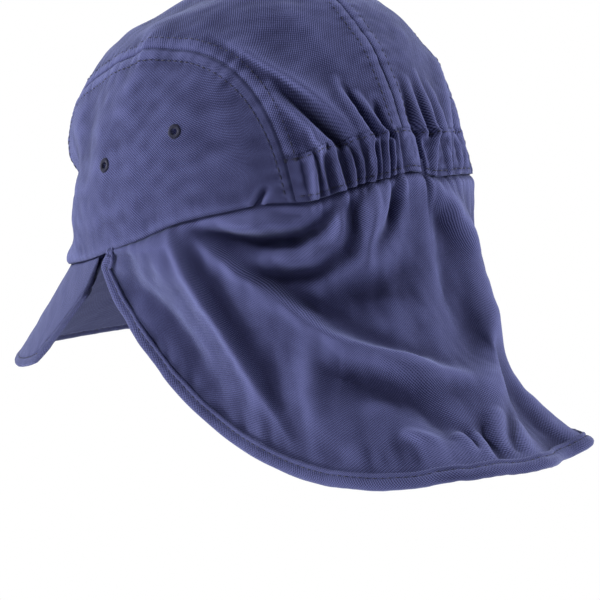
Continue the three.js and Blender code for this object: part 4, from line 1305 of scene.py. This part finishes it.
class CAP_OT_eyelets(bpy.types.Operator):
    """Sews the vent eyelets of the side panels"""

    bl_idname = "cap.eyelets"
    bl_label = "Eyelets"

    def execute(self, context):
        crown = Crown(context.scene)
        e = context.scene.cap_eyelet
        for side, sign in (("left", 1), ("right", -1)):
            for row in EYELETS:
                plain = crown.at_degrees(np.array([row["at"]]), np.array([row["up"]])) * [sign, 1, 1]
                out = crown.out(plain)[0]
                across = unit(np.cross(UP, out))
                up = np.cross(out, across)
                bm = bmesh.new()
                for k in range(e.threads):
                    turned = 2 * math.pi * k / e.threads
                    way = across * math.cos(turned) + up * math.sin(turned)
                    round_way = np.cross(out, way)
                    middle = (e.radius + e.hole) / 2
                    spot = crown.onto(plain + way * middle)
                    centre = crown.cloth(spot)[0] + out * e.height * 0.15
                    reach = (e.radius - e.hole) / 2 * (1 + 0.08 * math.sin(5 * k))
                    size = Matrix.Diagonal((reach, e.thread, e.height * 0.55, 1))
                    where = posed(centre, way, round_way, out) @ size
                    bmesh.ops.create_icosphere(bm, subdivisions=2, radius=1, matrix=where)
                name = f"eyelet_{side}_{row['name']}"
                finish_piece(object_from(f"{name}_thread", bm), [name], "sewing_thread")
        return {"FINISHED"}


class CAP_OT_stage(bpy.types.Operator):
    """Sets up the floor, the light and the camera"""

    bl_idname = "cap.stage"
    bl_label = "Stage"

    def execute(self, context):
        scene = context.scene
        s = scene.cap_stage
        back = Vector((
            math.sin(s.azimuth) * math.cos(s.elevation), -math.cos(s.azimuth) * math.cos(s.elevation),
            math.sin(s.elevation)))
        level = Vector((math.cos(s.azimuth), math.sin(s.azimuth), 0))
        upright = back.cross(level)
        right = level * math.cos(s.roll) + upright * math.sin(s.roll)
        above = back.cross(right)
        camera = bpy.data.objects.new("camera", bpy.data.cameras.new("camera"))
        camera.data.lens = s.lens
        camera.data.sensor_width = 36
        camera.data.clip_end = 20
        camera.matrix_world = posed(s.place, right, above, back)
        scene.collection.objects.link(camera)
        scene.camera = camera

        bm = bmesh.new()
        bmesh.ops.create_grid(bm, x_segments=1, y_segments=1, size=4)
        bmesh.ops.translate(bm, verts=bm.verts[:], vec=(0, 0, -s.floor_drop))
        floor = object_from("floor", bm)
        material = bpy.data.materials.new("floor")
        material.use_nodes = True
        paint = material.node_tree.nodes["Principled BSDF"].inputs
        paint["Base Color"].default_value = (0.86, 0.86, 0.87, 1)
        paint["Roughness"].default_value = 0.9
        floor.data.materials.append(material)

        world = bpy.data.worlds.new("studio")
        world.use_nodes = True
        tree = world.node_tree
        tree.nodes.clear()
        sky = add_node(tree, "ShaderNodeTexCoord").outputs["Generated"]
        behind = add_node(tree, "ShaderNodeVectorMath", (sky, tuple(-back)), operation="DOT_PRODUCT")
        away = behind.outputs["Value"]
        bright = add_node(tree, "ShaderNodeMapRange", {
            "Value": away, "From Min": -0.5, "From Max": 0.7, "To Min": s.near_light, "To Max": s.far_light})
        seen = add_node(tree, "ShaderNodeLightPath").outputs["Is Camera Ray"]
        strength = add_node(tree, "ShaderNodeMix", {0: seen, 2: bright.outputs[0], 3: 1.0})
        light = add_node(tree, "ShaderNodeBackground", {"Color": (1, 1, 1, 1), "Strength": strength.outputs[0]})
        add_node(tree, "ShaderNodeOutputWorld", (light.outputs[0],))
        scene.world = world
        scene.view_settings.view_transform = "Standard"

        for row in LAMPS:
            lamp = bpy.data.lights.new(row["name"], "AREA")
            lamp.size = row["size"]
            lamp.energy = row["power"]
            holder = bpy.data.objects.new(row["name"], lamp)
            place = Vector(row["place"])
            holder.matrix_world = Matrix.Translation(place) @ place.to_track_quat("Z", "Y").to_matrix().to_4x4()
            scene.collection.objects.link(holder)
        return {"FINISHED"}


OPERATORS = [
    CAP_OT_stage, CAP_OT_crown, CAP_OT_casing, CAP_OT_flap, CAP_OT_peak, CAP_OT_stitching, CAP_OT_eyelets,
]


class CAP_PT_panel(bpy.types.Panel):
    bl_idname = "CAP_PT_panel"
    bl_label = "Legionnaire cap"
    bl_space_type = "VIEW_3D"
    bl_region_type = "UI"
    bl_category = "Cap"

    def draw(self, context):
        for name in GROUPS:
            group = getattr(context.scene, name)
            box = self.layout.box()
            for key in group.__annotations__:
                box.prop(group, key)
        for operator in OPERATORS:
            self.layout.operator(operator.bl_idname)


def register():
    for cls in (*GROUPS.values(), *OPERATORS, CAP_PT_panel):
        bpy.utils.register_class(cls)
    for name, cls in GROUPS.items():
        setattr(bpy.types.Scene, name, PointerProperty(type=cls))


def unregister():
    for name in GROUPS:
        delattr(bpy.types.Scene, name)
    for cls in (CAP_PT_panel, *reversed(OPERATORS), *reversed(GROUPS.values())):
        bpy.utils.unregister_class(cls)


def main():
    register()
    bpy.ops.cap.stage()
    bpy.ops.cap.crown()
    bpy.ops.cap.casing()
    bpy.ops.cap.flap()
    bpy.ops.cap.peak()
    bpy.ops.cap.stitching()
    bpy.ops.cap.eyelets()


if __name__ == "__main__":
    main()
